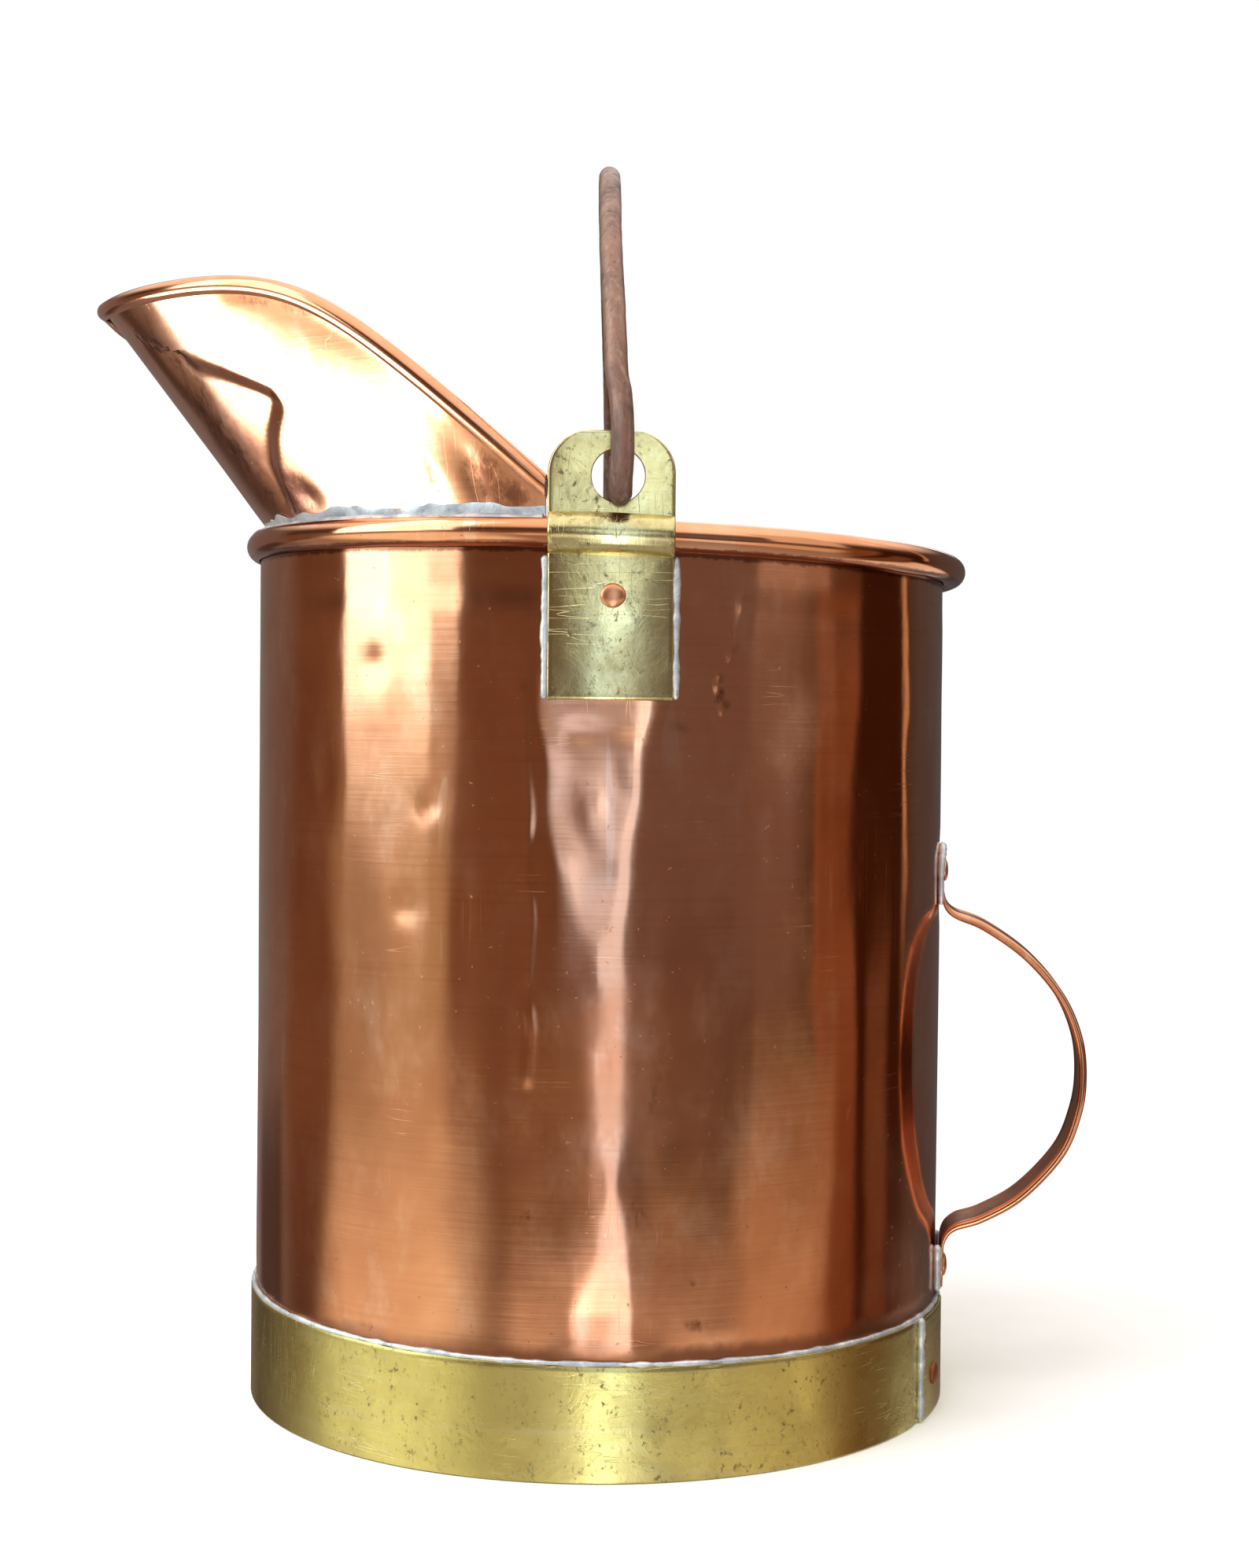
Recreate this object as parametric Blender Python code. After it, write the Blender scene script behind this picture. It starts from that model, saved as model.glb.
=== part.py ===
"""Copper coal scuttle with a brass base band, an open pouring hood and an iron bail.

+Z is up, -X is the pouring side and the strap handle is behind, near +X, so the two ears stand
at -Y and +Y. The world's origin is at floor level in the middle of the whole object's extents.
Sizes below are measured from the axis of the round body, which stands BODY_AXIS_X from there.
Units are metres. Angles are in degrees round the body from +X.
"""
import math

import bmesh
import bpy
from mathutils import Matrix, Vector

MM = 0.001
GAP = 0.3 * MM
BODY_AXIS_X = 3.5 * MM

# Round body of sheet copper
STATIONS = 48
BODY_RADIUS = 130.0 * MM
SHEET = 1.1 * MM
BODY_BOTTOM = 0.6 * MM
SEAM_ANGLES = (8.0, 13.0)
SEAM_LOW = 44.0 * MM
SEAM_HIGH = 300.0 * MM
SEAM_RAMP = 2.0 * MM
SEAM_RAMP_ANGLE = 0.4

# Wired rim: the sheet curls out round a rod, in a plane that falls slightly towards the handle
RIM_RADIUS = 131.6 * MM
RIM_SHIFT = 1.67 * MM
RIM_HEIGHT = 314.2 * MM
RIM_FALL = 0.0272
RIM_ROLL = 5.2 * MM
RIM_WIRE = 3.4 * MM
SLIT = 0.4 * MM

# Pouring hood: its mouth is half an ellipse in plan, level in front and falling to the ears
HOOD_SHEET = 1.0 * MM
HOOD_FOOT_INSET = 5.4 * MM
HOOD_FOOT_RISE = 4.1 * MM
MOUTH_LENGTH = 189.0 * MM
MOUTH_HALF_WIDTH = 128.0 * MM
MOUTH_HEIGHT = 403.2 * MM
LIP_RISE = 4.0 * MM
LIP_WIDTH = 23.0 * MM
MOUTH_SLOPE = 0.87
MOUTH_KNEE = -104.0 * MM
MOUTH_SOFTNESS = 14.0 * MM
HOOD_END = 19.6 * MM
HOOD_STATIONS = 30
HOOD_WALL_SHARES = (1.0, 0.66, 0.33)
HOOD_ROLL = 3.3 * MM
HOOD_WIRE = 1.7 * MM

# Brass band round the foot, closed by a riveted lap
BAND_INNER = 131.0 * MM
BAND_SHEET = 0.9 * MM
BAND_HEIGHT = 39.0 * MM
BAND_FALL = 0.0137
LAP_STEP = 0.6 * MM
LAP_EDGE = -27.0
LAP_FLAT_END = -10.0
LAP_JOGGLE_END = -8.0
LAP_INNER_START = -28.5
LAP_INNER_END = -12.0
LAP_STEPS = 5
BAND_PLAIN_END = 330.0
BAND_RIVET_ANGLE = -20.5
BAND_RIVET_HEIGHT = 14.3 * MM

# Bottom disc with a turned-down flange
FLOOR_HEIGHT = 8.0 * MM
FLANGE_RADIUS = 128.5 * MM
FLANGE_BOTTOM = 1.2 * MM

# Brass ears, pressed over the rim roll
EAR_CENTRE = 2.0 * MM
EAR_HALF_WIDTH = 21.0 * MM
EAR_BOTTOM = 259.5 * MM
EAR_TOP = 348.0 * MM
EAR_CORNER = 14.0 * MM
EAR_SHEET = 1.6 * MM
EAR_FLAT = 131.3 * MM
EAR_HOLE = (4.1 * MM, 333.2 * MM)
EAR_HOLE_RADIUS = 8.8 * MM
EAR_RIVET = (2.7 * MM, 293.9 * MM)

# Rivets: domed head outside, flat peened head inside
RIVET_HEAD = 4.25 * MM
RIVET_DOME = 1.5 * MM
RIVET_DOME_SHARES = ((0.35, 1.0), (0.75, 0.72), (1.0, 0.25))
RIVET_SHANK = 2.3 * MM
RIVET_HOLE = 2.75 * MM
RIVET_TAIL = 3.7 * MM
RIVET_TAIL_DEPTH = 1.3 * MM
RIVET_TAIL_NARROWING = 0.8
RIVET_TAIL_GAP = 0.6 * MM
DRILL_START = 117.0 * MM
DRILL_END = 143.0 * MM
LAP_DRILL_START = 128.4 * MM
LAP_DRILL_END = 135.2 * MM

# Iron bail. HOOK runs from the inner tip of one end out through the ear and up its leg, as
# (x, distance from y = 0, height); its x is the -Y leg's, since the other leg is straight.
# The bow is bent out of the legs' plane: sharply above the -Y leg, gently above the +Y one.
BAIL_ROD = 3.9 * MM
PIVOT = (4.8 * MM, 329.5 * MM)
HOOK = (
    (4.8 * MM, 118.5 * MM, 342.0 * MM),
    (4.8 * MM, 121.0 * MM, 334.0 * MM),
    (4.8 * MM, 126.5 * MM, 330.2 * MM),
    (4.8 * MM, 132.9 * MM, 329.5 * MM),
    (4.8 * MM, 138.0 * MM, 327.0 * MM),
    (4.9 * MM, 141.7 * MM, 331.0 * MM),
    (5.3 * MM, 142.3 * MM, 341.0 * MM),
    (5.1 * MM, 141.7 * MM, 351.0 * MM),
    (4.4 * MM, 139.9 * MM, 359.0 * MM),
)
BOW_X = 1.2 * MM
BOW_NEAR_BEND = 2.1 * MM
BOW_NEAR_FADE = 50.0 * MM
BOW_FAR_BEND = 4.9 * MM
BOW_TOP = 458.3 * MM
BOW_RADIUS = 147.5 * MM
BOW_FIRST_ANGLE = 22.0
BOW_STEPS = 20

# Copper strap handle: (distance from the body's axis, height) along the middle of the strap,
# from its upper tail down. Folded edges make the loop thick; the tails are hammered thin.
STRAP_ANGLE = -7.5
STRAP_WIDTH = 24.5 * MM
LOOP_SHEET = 3.1 * MM
TAIL_SHEET = 1.3 * MM
TAIL_LENGTH = 16.0 * MM
TAIL_TAPER = 12.0 * MM
STRAP_TIP = 6.0 * MM
STRAP_TIP_WIDTH = 0.45
STRAP_EDGE_SHARES = (0.7, 0.2)
STRAP = (
    (131.0 * MM, 205.0 * MM),
    (131.0 * MM, 198.0 * MM),
    (131.2 * MM, 190.0 * MM),
    (134.6 * MM, 182.9 * MM),
    (147.0 * MM, 177.6 * MM),
    (162.6 * MM, 166.8 * MM),
    (175.2 * MM, 152.3 * MM),
    (182.1 * MM, 136.5 * MM),
    (183.7 * MM, 121.0 * MM),
    (181.7 * MM, 107.0 * MM),
    (175.6 * MM, 92.3 * MM),
    (161.5 * MM, 76.7 * MM),
    (147.2 * MM, 68.0 * MM),
    (137.0 * MM, 64.3 * MM),
    (132.9 * MM, 59.5 * MM),
    (132.2 * MM, 52.0 * MM),
    (132.1 * MM, 40.4 * MM),
)
STRAP_RIVET_HEIGHTS = (198.2 * MM, 48.0 * MM)
STRAP_RIVET_SURFACES = (131.7 * MM, 132.8 * MM)

# Soft solder
BEAD = 1.1 * MM
BAND_BEAD = 0.8 * MM
LAP_BEAD = 0.6 * MM
LAP_BEAD_HEIGHTS = (2.0 * MM, 36.0 * MM)
HOOD_BEAD_HEIGHT = 6.5 * MM
HOOD_BEAD_ANGLE = 42.0
HOOD_BEAD_STEPS = 5
EAR_BEAD_LOW = 262.0 * MM
EAR_BEAD_HIGH = 303.0 * MM
UPPER_TAIL_BEAD_HEIGHTS = (188.0 * MM, 200.0 * MM)
UPPER_TAIL_BEAD_NARROWING = 0.7
LOWER_TAIL_BEAD_HEIGHTS = (43.0 * MM, 55.0 * MM)

COLOURS = {
    "copper": ((0.62, 0.27, 0.15), 0.22, 1.0),
    "brass": ((0.62, 0.50, 0.24), 0.34, 1.0),
    "iron": ((0.17, 0.13, 0.11), 0.6, 0.7),
    "steel": ((0.35, 0.33, 0.31), 0.45, 1.0),
    "solder": ((0.62, 0.61, 0.58), 0.5, 0.8),
}


def clear_scene():
    for item in list(bpy.data.objects):
        bpy.data.objects.remove(item)


def make_material(name, finish):
    colour, roughness, metallic = COLOURS[finish]
    material = bpy.data.materials.new(name)
    material.use_nodes = True
    shader = material.node_tree.nodes["Principled BSDF"]
    shader.inputs["Base Color"].default_value = (*colour, 1.0)
    shader.inputs["Roughness"].default_value = roughness
    shader.inputs["Metallic"].default_value = metallic
    return material


def add_object(name, mesh, finish, origin=Vector()):
    """Link a mesh, whose points are in the object's frame, with its origin at the given point."""
    mesh.transform(Matrix.Translation(-origin))
    mesh.materials.append(make_material(name, finish))
    mesh.shade_smooth()
    mesh.set_sharp_from_angle(angle=math.radians(35.0))
    item = bpy.data.objects.new(name, mesh)
    item.location = origin
    bpy.context.scene.collection.objects.link(item)
    return item


def loft(name, sections, closed=False):
    """A mesh through equal polygons; an open loft is capped at both ends."""
    work = bmesh.new()
    rings = [[work.verts.new(point) for point in section] for section in sections]
    pairs = list(zip(rings, rings[1:]))
    if closed:
        pairs.append((rings[-1], rings[0]))
    else:
        work.faces.new(rings[0])
        work.faces.new(rings[-1])
    for first, second in pairs:
        for index in range(len(first)):
            following = (index + 1) % len(first)
            work.faces.new((first[index], first[following], second[following], second[index]))
    bmesh.ops.recalc_face_normals(work, faces=work.faces)
    mesh = bpy.data.meshes.new(name)
    work.to_mesh(mesh)
    work.free()
    return mesh


def polar(radius, angle, height):
    """A point at an angle in degrees round the body, where 0 is the handle side (+X)."""
    turn = math.radians(angle)
    return Vector((radius * math.cos(turn), radius * math.sin(turn), height))


def spread(start, end, steps):
    """Equal steps from one value to another, with both ends."""
    return [start + (end - start) * step / steps for step in range(steps + 1)]


def arc(centre, radius, start, end, steps):
    """Points on an arc, in degrees, with both ends."""
    turns = [math.radians(angle) for angle in spread(start, end, steps)]
    return [(centre[0] + radius * math.cos(t), centre[1] + radius * math.sin(t)) for t in turns]


def smooth_path(points, steps):
    """A Catmull-Rom curve through the points."""
    points = [Vector(point) for point in points]
    padded = [2 * points[0] - points[1], *points, 2 * points[-1] - points[-2]]
    path = []
    for before, start, end, after in zip(padded, padded[1:], padded[2:], padded[3:]):
        for step in range(steps):
            t = step / steps
            path.append(0.5 * (
                2 * start + (end - before) * t
                + (2 * before - 5 * start + 4 * end - after) * t ** 2
                + (3 * start - before - 3 * end + after) * t ** 3))
    return path + [points[-1]]


def rod(name, path, radius, sides, reference, closed=False):
    """A round rod along a path; the reference direction is never along the path."""
    sections = []
    count = len(path)
    for index, point in enumerate(path):
        if closed:
            tangent = path[(index + 1) % count] - path[index - 1]
        else:
            tangent = path[min(index + 1, count - 1)] - path[max(index - 1, 0)]
        across = tangent.cross(reference).normalized()
        other = across.cross(tangent).normalized()
        turns = [2 * math.pi * side / sides for side in range(sides)]
        sections.append([point + radius * (across * math.cos(t) + other * math.sin(t)) for t in turns])
    return loft(name, sections, closed)


def wired_edge(roll, sheet, inner_face, outer_steps, inner_steps):
    """Outline of a sheet edge curled round a wire, about the wire's centre.

    The sheet comes up from below, its inner face at the offset inner_face. Returns the points
    from that face, over the outside of the curl, and back inside it to the sheet's outer face.
    """
    outer_face = inner_face + sheet
    end_offset = outer_face + SLIT
    hollow = roll - sheet
    nearest = hollow if end_offset > 0 else roll
    start = 360.0 - math.degrees(math.acos(inner_face / roll))
    end = -math.degrees(math.acos(end_offset / nearest))
    inside_end = 360.0 - math.degrees(math.acos(max(-1.0, outer_face / hollow)))
    outside = arc((0.0, 0.0), roll, start, end, outer_steps)
    inside = arc((0.0, 0.0), hollow, end, inside_end, inner_steps)
    return outside + inside


def rim_centre(angle):
    """Radius and height of the rim roll's centre line at an angle round the body."""
    radius = RIM_RADIUS + RIM_SHIFT * math.cos(math.radians(angle))
    return radius, RIM_HEIGHT - RIM_FALL * radius * math.cos(math.radians(angle))


def station_angles():
    """Equal steps round the body, with the edges of the side seam added."""
    low, high = SEAM_ANGLES
    steps = [360.0 * index / STATIONS for index in range(STATIONS)]
    kept = [angle for angle in steps if not low - 1.0 < angle < high + 1.0]
    seam = [low - SEAM_RAMP_ANGLE, low, (low + high) / 2, high, high + SEAM_RAMP_ANGLE]
    return sorted(kept + seam)


def make_body():
    """The cylinder: lapped along its side seam and curled out round the rim wire."""
    sections = []
    for angle in station_angles():
        radius, height = rim_centre(angle)
        inner = BODY_RADIUS - SHEET
        curl = wired_edge(RIM_ROLL, SHEET, inner - radius, 10, 7)
        proud = SHEET if SEAM_ANGLES[0] <= angle <= SEAM_ANGLES[1] else 0.0
        outline = [
            (inner, BODY_BOTTOM),
            (inner, SEAM_HIGH),
            *[(radius + across, height + up) for across, up in curl],
            (BODY_RADIUS, SEAM_HIGH + SEAM_RAMP),
            (BODY_RADIUS + proud, SEAM_HIGH),
            (BODY_RADIUS + proud, SEAM_LOW),
            (BODY_RADIUS, SEAM_LOW - SEAM_RAMP),
            (BODY_RADIUS, BODY_BOTTOM),
        ]
        sections.append([polar(r, angle, z) for r, z in outline])
    return add_object("body_shell", loft("body_shell", sections, closed=True), "copper")


def make_rim_wire():
    path = [polar(rim_centre(angle)[0], angle, rim_centre(angle)[1]) for angle in station_angles()]
    mesh = rod("rim_wire", path, RIM_WIRE, 6, Vector((0, 0, 1)), closed=True)
    add_object("rim_wire", mesh, "steel")


def mouth_point(turn):
    """The hood's edge at a turn, in degrees, from the front: 0 is the tip of the spout."""
    x = -MOUTH_LENGTH * math.cos(math.radians(turn))
    y = MOUTH_HALF_WIDTH * math.sin(math.radians(turn))
    drop = MOUTH_SOFTNESS * math.log(1 + math.exp((x - MOUTH_KNEE) / MOUTH_SOFTNESS))
    lip = LIP_RISE * math.exp(-((y / LIP_WIDTH) ** 2))
    return Vector((x, y, MOUTH_HEIGHT + lip - MOUTH_SLOPE * drop))


def hood_frames():
    """Foot, edge, upward and outward directions of the hood, and its edge's own direction."""
    last_mouth = math.degrees(math.acos(HOOD_END / MOUTH_LENGTH))
    last_foot = math.degrees(math.acos(HOOD_END / (RIM_RADIUS - HOOD_FOOT_INSET)))
    frames = []
    for index in range(HOOD_STATIONS + 1):
        share = 2.0 * index / HOOD_STATIONS - 1.0
        turn = last_mouth * share
        foot_angle = 180.0 - last_foot * share
        radius, height = rim_centre(foot_angle)
        foot = polar(radius - HOOD_FOOT_INSET, foot_angle, height + HOOD_FOOT_RISE)
        edge = mouth_point(turn)
        course = (mouth_point(turn + 0.5) - mouth_point(turn - 0.5)).normalized()
        along = polar(1.0, foot_angle + 90.0, 0.0)
        up = (edge - foot).normalized()
        outward = along.cross(up).normalized()
        frames.append((foot, edge, up, outward, course, foot_angle))
    return frames


def rolled_section(edge, up, outward, course, outline):
    """Carry an outline drawn square to the edge's course onto the hood's own section plane."""
    rise_axis = (up - course * up.dot(course)).normalized()
    out_axis = rise_axis.cross(course)
    if out_axis.dot(outward) < 0:
        out_axis = -out_axis
    plane = up.cross(outward)
    points = []
    for across, rise in outline:
        square = out_axis * across + rise_axis * rise
        points.append(edge + square - course * (square.dot(plane) / course.dot(plane)))
    return points


def make_hood():
    """Half funnel of sheet copper whose free edge is curled out round a wire."""
    curl = wired_edge(HOOD_ROLL, HOOD_SHEET, 0.0, 8, 6)
    sections = []
    for foot, edge, up, outward, course, _ in hood_frames():
        reach = (edge - foot).length
        inner_wall = [
            edge - outward * (HOOD_SHEET / 2 * share) - up * reach * share
            for share in HOOD_WALL_SHARES
        ]
        outer_wall = [point + outward * HOOD_SHEET for point in reversed(inner_wall)]
        rolled = rolled_section(edge, up, outward, course, curl)
        sections.append([*inner_wall, *rolled, *outer_wall])
    add_object("spout", loft("spout", sections), "copper")


def make_hood_wire():
    circle = arc((0.0, 0.0), HOOD_WIRE, 0.0, 300.0, 5)
    sections = [
        rolled_section(edge, up, outward, course, circle)
        for _, edge, up, outward, course, _ in hood_frames()
    ]
    add_object("spout_wire", loft("spout_wire", sections), "steel")


def band_top(x):
    return BAND_HEIGHT - BAND_FALL * x


def make_band():
    """Brass strip round the foot: its outer end steps over its inner end in a lap."""
    plain = [angle for angle in spread(0.0, 360.0, STATIONS) if angle <= BAND_PLAIN_END]
    route = [(angle, 1) for angle in spread(LAP_EDGE, LAP_FLAT_END, LAP_STEPS)]
    route += [(LAP_JOGGLE_END, 0)]
    route += [(angle, 0) for angle in plain]
    route += [(360.0 + angle, -1) for angle in spread(LAP_INNER_START, LAP_INNER_END, LAP_STEPS)]
    sections = []
    for turn, layer in route:
        inner = BAND_INNER + layer * LAP_STEP
        outer = inner + BAND_SHEET
        top = band_top(polar(outer, turn, 0.0).x)
        outline = ((inner, 0.0), (outer, 0.0), (outer, top), (inner, top))
        sections.append([polar(r, turn, z) for r, z in outline])
    return add_object("base_band", loft("base_band", sections), "brass")


def make_bottom():
    """Pan-shaped disc: flat floor inside the bucket, flange turned down against the wall."""
    inside = FLANGE_RADIUS - SHEET
    profile = (
        (inside, FLOOR_HEIGHT),
        (FLANGE_RADIUS, FLOOR_HEIGHT - SHEET),
        (FLANGE_RADIUS, FLANGE_BOTTOM),
        (inside, FLANGE_BOTTOM),
        (inside, FLOOR_HEIGHT - 2 * SHEET),
        (inside - SHEET, FLOOR_HEIGHT - SHEET),
    )
    angles = [360.0 * index / STATIONS for index in range(STATIONS)]
    sections = [[polar(radius, angle, height) for angle in angles] for radius, height in profile]
    add_object("bottom_plate", loft("bottom_plate", sections), "copper")


def ear_outline(x, side):
    """Section of an ear across its plate at one x: hugging the wall, over the roll, then flat."""
    inner = math.sqrt((BODY_RADIUS + GAP) ** 2 - x ** 2)
    outer = math.sqrt((BODY_RADIUS + GAP + EAR_SHEET) ** 2 - x ** 2)
    roll_y = math.sqrt(RIM_RADIUS ** 2 - (x - RIM_SHIFT) ** 2)
    roll_z = RIM_HEIGHT - RIM_FALL * x
    inside = RIM_ROLL + GAP
    outside = inside + EAR_SHEET
    flat = EAR_FLAT - roll_y
    into_corner = abs(x - EAR_CENTRE) - (EAR_HALF_WIDTH - EAR_CORNER)
    into_corner = min(max(into_corner, 0.0), EAR_CORNER)
    round_off = EAR_CORNER - math.sqrt(EAR_CORNER ** 2 - into_corner ** 2)
    top = EAR_TOP - round_off
    inner_arc = arc(
        (roll_y, roll_z), inside,
        -math.degrees(math.acos((inner - roll_y) / inside)),
        math.degrees(math.acos(flat / inside)), 6)
    outer_arc = arc(
        (roll_y, roll_z), outside,
        math.degrees(math.acos((flat + EAR_SHEET) / outside)),
        -math.degrees(math.acos((outer - roll_y) / outside)), 6)
    outline = [
        (inner, EAR_BOTTOM),
        *inner_arc,
        (EAR_FLAT, top),
        (EAR_FLAT + EAR_SHEET, top),
        *outer_arc,
        (outer, EAR_BOTTOM),
    ]
    return [Vector((x, side * y, z)) for y, z in outline]


def make_ear(name, side):
    steps = 10
    shares = [-math.cos(math.pi * step / steps) for step in range(steps + 1)]
    sections = [ear_outline(EAR_CENTRE + EAR_HALF_WIDTH * share, side) for share in shares]
    return add_object(name, loft(name, sections), "brass")


def cylinder_along(name, axis, start, end, centre, radius, sides=16):
    """Mesh of a cylinder along an axis direction, from one distance to another."""
    reference = Vector((0, 0, 1))
    across = axis.cross(reference).normalized()
    other = across.cross(axis)
    turns = [2 * math.pi * side / sides for side in range(sides)]
    ring = [centre + radius * (across * math.cos(t) + other * math.sin(t)) for t in turns]
    return loft(name, [[point + axis * start for point in ring], [point + axis * end for point in ring]])


def drill(target, name, axis, start, end, centre, radius, sides=16):
    """Cut a round hole through an object; the cutter stays as a hidden guide."""
    mesh = cylinder_along(name, axis, start, end, centre, radius, sides)
    cutter = bpy.data.objects.new(name, mesh)
    cutter.hide_render = True
    cutter.display_type = "WIRE"
    bpy.context.scene.collection.objects.link(cutter)
    cut = target.modifiers.new(name, "BOOLEAN")
    cut.operation = "DIFFERENCE"
    cut.solver = "EXACT"
    cut.object = cutter


def make_rivet(name, axis, surface, tail_surface, centre, finish="copper", sides=12):
    """A rivet along an axis: dome above the outer surface, shank, and head behind the inner one.

    Without a tail surface the shank ends flush with the inner layer of the band's lap.
    """
    seat = surface + GAP
    profile = [(RIVET_HEAD * wide, seat + RIVET_DOME * high) for wide, high in RIVET_DOME_SHARES]
    profile += [(RIVET_HEAD, seat), (RIVET_SHANK, seat)]
    if tail_surface is None:
        profile += [(RIVET_SHANK, BAND_INNER - LAP_STEP)]
    else:
        back = tail_surface - RIVET_TAIL_GAP
        profile += [(RIVET_SHANK, back), (RIVET_TAIL, back)]
        profile += [(RIVET_TAIL * RIVET_TAIL_NARROWING, back - RIVET_TAIL_DEPTH)]
    across = axis.cross(Vector((0, 0, 1))).normalized()
    other = across.cross(axis)
    turns = [2 * math.pi * side / sides for side in range(sides)]
    sections = []
    for radius, distance in profile:
        middle = centre + axis * distance
        sections.append([middle + radius * (across * math.cos(t) + other * math.sin(t)) for t in turns])
    add_object(name, loft(name, sections), finish)


def make_rivets(body, ears, band, strap):
    """Ear rivets through ear and wall, strap rivets through strap and wall, one in the lap."""
    wall_inside = BODY_RADIUS - SHEET
    for name, side in (("left", -1), ("right", 1)):
        axis = Vector((0, side, 0))
        x, z = EAR_RIVET
        middle = Vector((x, 0, z))
        for target in (body, ears[side]):
            drill(target, f"cut_{target.name}_{name}", axis, DRILL_START, DRILL_END, middle, RIVET_HOLE)
        rise = math.sqrt(BODY_RADIUS ** 2 - x ** 2)
        make_rivet(f"ear_rivet_{name}", axis, rise + GAP + EAR_SHEET, wall_inside, middle)
        hole = Vector((EAR_HOLE[0], 0, EAR_HOLE[1]))
        drill(ears[side], f"cut_bail_hole_{name}", axis, DRILL_START, DRILL_END, hole, EAR_HOLE_RADIUS, 28)
    back = polar(1.0, STRAP_ANGLE, 0.0)
    names = ("handle_rivet_top", "handle_rivet_bottom")
    for name, height, surface in zip(names, STRAP_RIVET_HEIGHTS, STRAP_RIVET_SURFACES):
        middle = Vector((0, 0, height))
        for target in (body, strap):
            drill(target, f"cut_{target.name}_{name}", back, DRILL_START, DRILL_END, middle, RIVET_HOLE)
        make_rivet(name, back, surface, wall_inside, middle)
    radial = polar(1.0, BAND_RIVET_ANGLE, 0.0)
    middle = Vector((0, 0, BAND_RIVET_HEIGHT))
    lap_top = BAND_INNER + LAP_STEP + BAND_SHEET
    drill(band, "cut_band_lap", radial, LAP_DRILL_START, LAP_DRILL_END, middle, RIVET_HOLE)
    make_rivet("band_rivet", radial, lap_top, None, middle)


def bow_point(turn):
    """A point of the bow, turned in degrees up from the -Y side round the bow's centre."""
    turn = math.radians(turn)
    y = -BOW_RADIUS * math.cos(turn)
    rise = BOW_RADIUS * math.sin(turn)
    if y > 0:
        x = min(PIVOT[0], BOW_X + BOW_FAR_BEND * (y / BOW_RADIUS) ** 2)
    else:
        above_leg = rise - BOW_RADIUS * math.sin(math.radians(BOW_FIRST_ANGLE))
        x = BOW_X + BOW_NEAR_BEND * max(0.0, 1.0 - above_leg / BOW_NEAR_FADE)
    return Vector((x, y, BOW_TOP - BOW_RADIUS + rise))


def make_bail():
    """Round iron rod: both ends hook inwards through the ears; its origin is on their line."""
    near = smooth_path([Vector((x, -y, z)) for x, y, z in HOOK], 2)
    far = smooth_path([Vector((PIVOT[0], y, z)) for _, y, z in HOOK], 2)
    bow = [bow_point(turn) for turn in spread(BOW_FIRST_ANGLE, 180.0 - BOW_FIRST_ANGLE, BOW_STEPS)]
    mesh = rod("bail", near + bow + far[::-1], BAIL_ROD, 10, Vector((1, 0, 0)))
    add_object("bail", mesh, "iron", Vector((PIVOT[0], 0.0, PIVOT[1])))


def strap_section(to_end):
    """Outline of the strap at a distance from its nearer end: (across, through) points."""
    tip = STRAP_TIP_WIDTH + (1 - STRAP_TIP_WIDTH) * min(1.0, to_end / STRAP_TIP)
    swell = min(max((to_end - TAIL_LENGTH) / TAIL_TAPER, 0.0), 1.0)
    wide = STRAP_WIDTH / 2 * tip
    thin = (TAIL_SHEET + (LOOP_SHEET - TAIL_SHEET) * swell) / 2
    far, near = STRAP_EDGE_SHARES
    edge = [(wide - thin * far, thin), (wide - thin * near, thin * far), (wide, 0.0)]
    half = edge + [(across, -through) for across, through in reversed(edge[:-1])]
    return half + [(-across, -through) for across, through in half]


def make_strap():
    """Bent copper strap: clipped tails against the wall and a D-shaped loop for the hand."""
    outward = polar(1.0, STRAP_ANGLE, 0.0)
    across = polar(1.0, STRAP_ANGLE + 90.0, 0.0)
    path = smooth_path([outward * distance + Vector((0, 0, z)) for distance, z in STRAP], 3)
    lengths = [0.0]
    for before, point in zip(path, path[1:]):
        lengths.append(lengths[-1] + (point - before).length)
    sections = []
    last = len(path) - 1
    for index, point in enumerate(path):
        tangent = path[min(index + 1, last)] - path[max(index - 1, 0)]
        through = tangent.cross(across).normalized()
        to_end = min(lengths[index], lengths[-1] - lengths[index])
        outline = strap_section(to_end)
        sections.append([point + across * wide + through * thin for wide, thin in outline])
    return add_object("back_handle", loft("back_handle", sections), "copper")


def make_band_solder():
    """Bead in the corner between the band's top edge and the wall."""
    radius = BODY_RADIUS + GAP + BAND_BEAD
    angles = [360.0 * index / STATIONS for index in range(STATIONS)]
    path = [polar(radius, angle, band_top(radius * math.cos(math.radians(angle)))) for angle in angles]
    path = [point + Vector((0, 0, GAP + BAND_BEAD)) for point in path]
    mesh = rod("solder_band", path, BAND_BEAD, 6, Vector((0, 0, 1)), closed=True)
    add_object("solder_band", mesh, "solder")


def make_hood_solder():
    """Fillet between the rim roll and the foot of the hood, on the outside."""
    sections = []
    for foot, _, up, outward, _, angle in hood_frames():
        radius, height = rim_centre(angle)
        radial = polar(1.0, angle, 0.0)
        corner = foot + outward * (HOOD_SHEET / 2 + GAP)
        lift = Vector((corner.dot(radial) - radius, corner.z - height))
        seat = math.degrees(math.atan2(lift.x, lift.y)) + 2.0
        offset = RIM_ROLL + GAP
        seated = [
            polar(radius + offset * math.sin(math.radians(turn)), angle,
                  height + offset * math.cos(math.radians(turn)))
            for turn in spread(seat, HOOD_BEAD_ANGLE, HOOD_BEAD_STEPS)
        ]
        crest = corner + up * HOOD_BEAD_HEIGHT
        hollow = (crest + seated[-1]) / 2 - (outward + Vector((0, 0, 1))) * GAP
        sections.append([*seated, hollow, crest])
    add_object("solder_spout", loft("solder_spout", sections), "solder")


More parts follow.
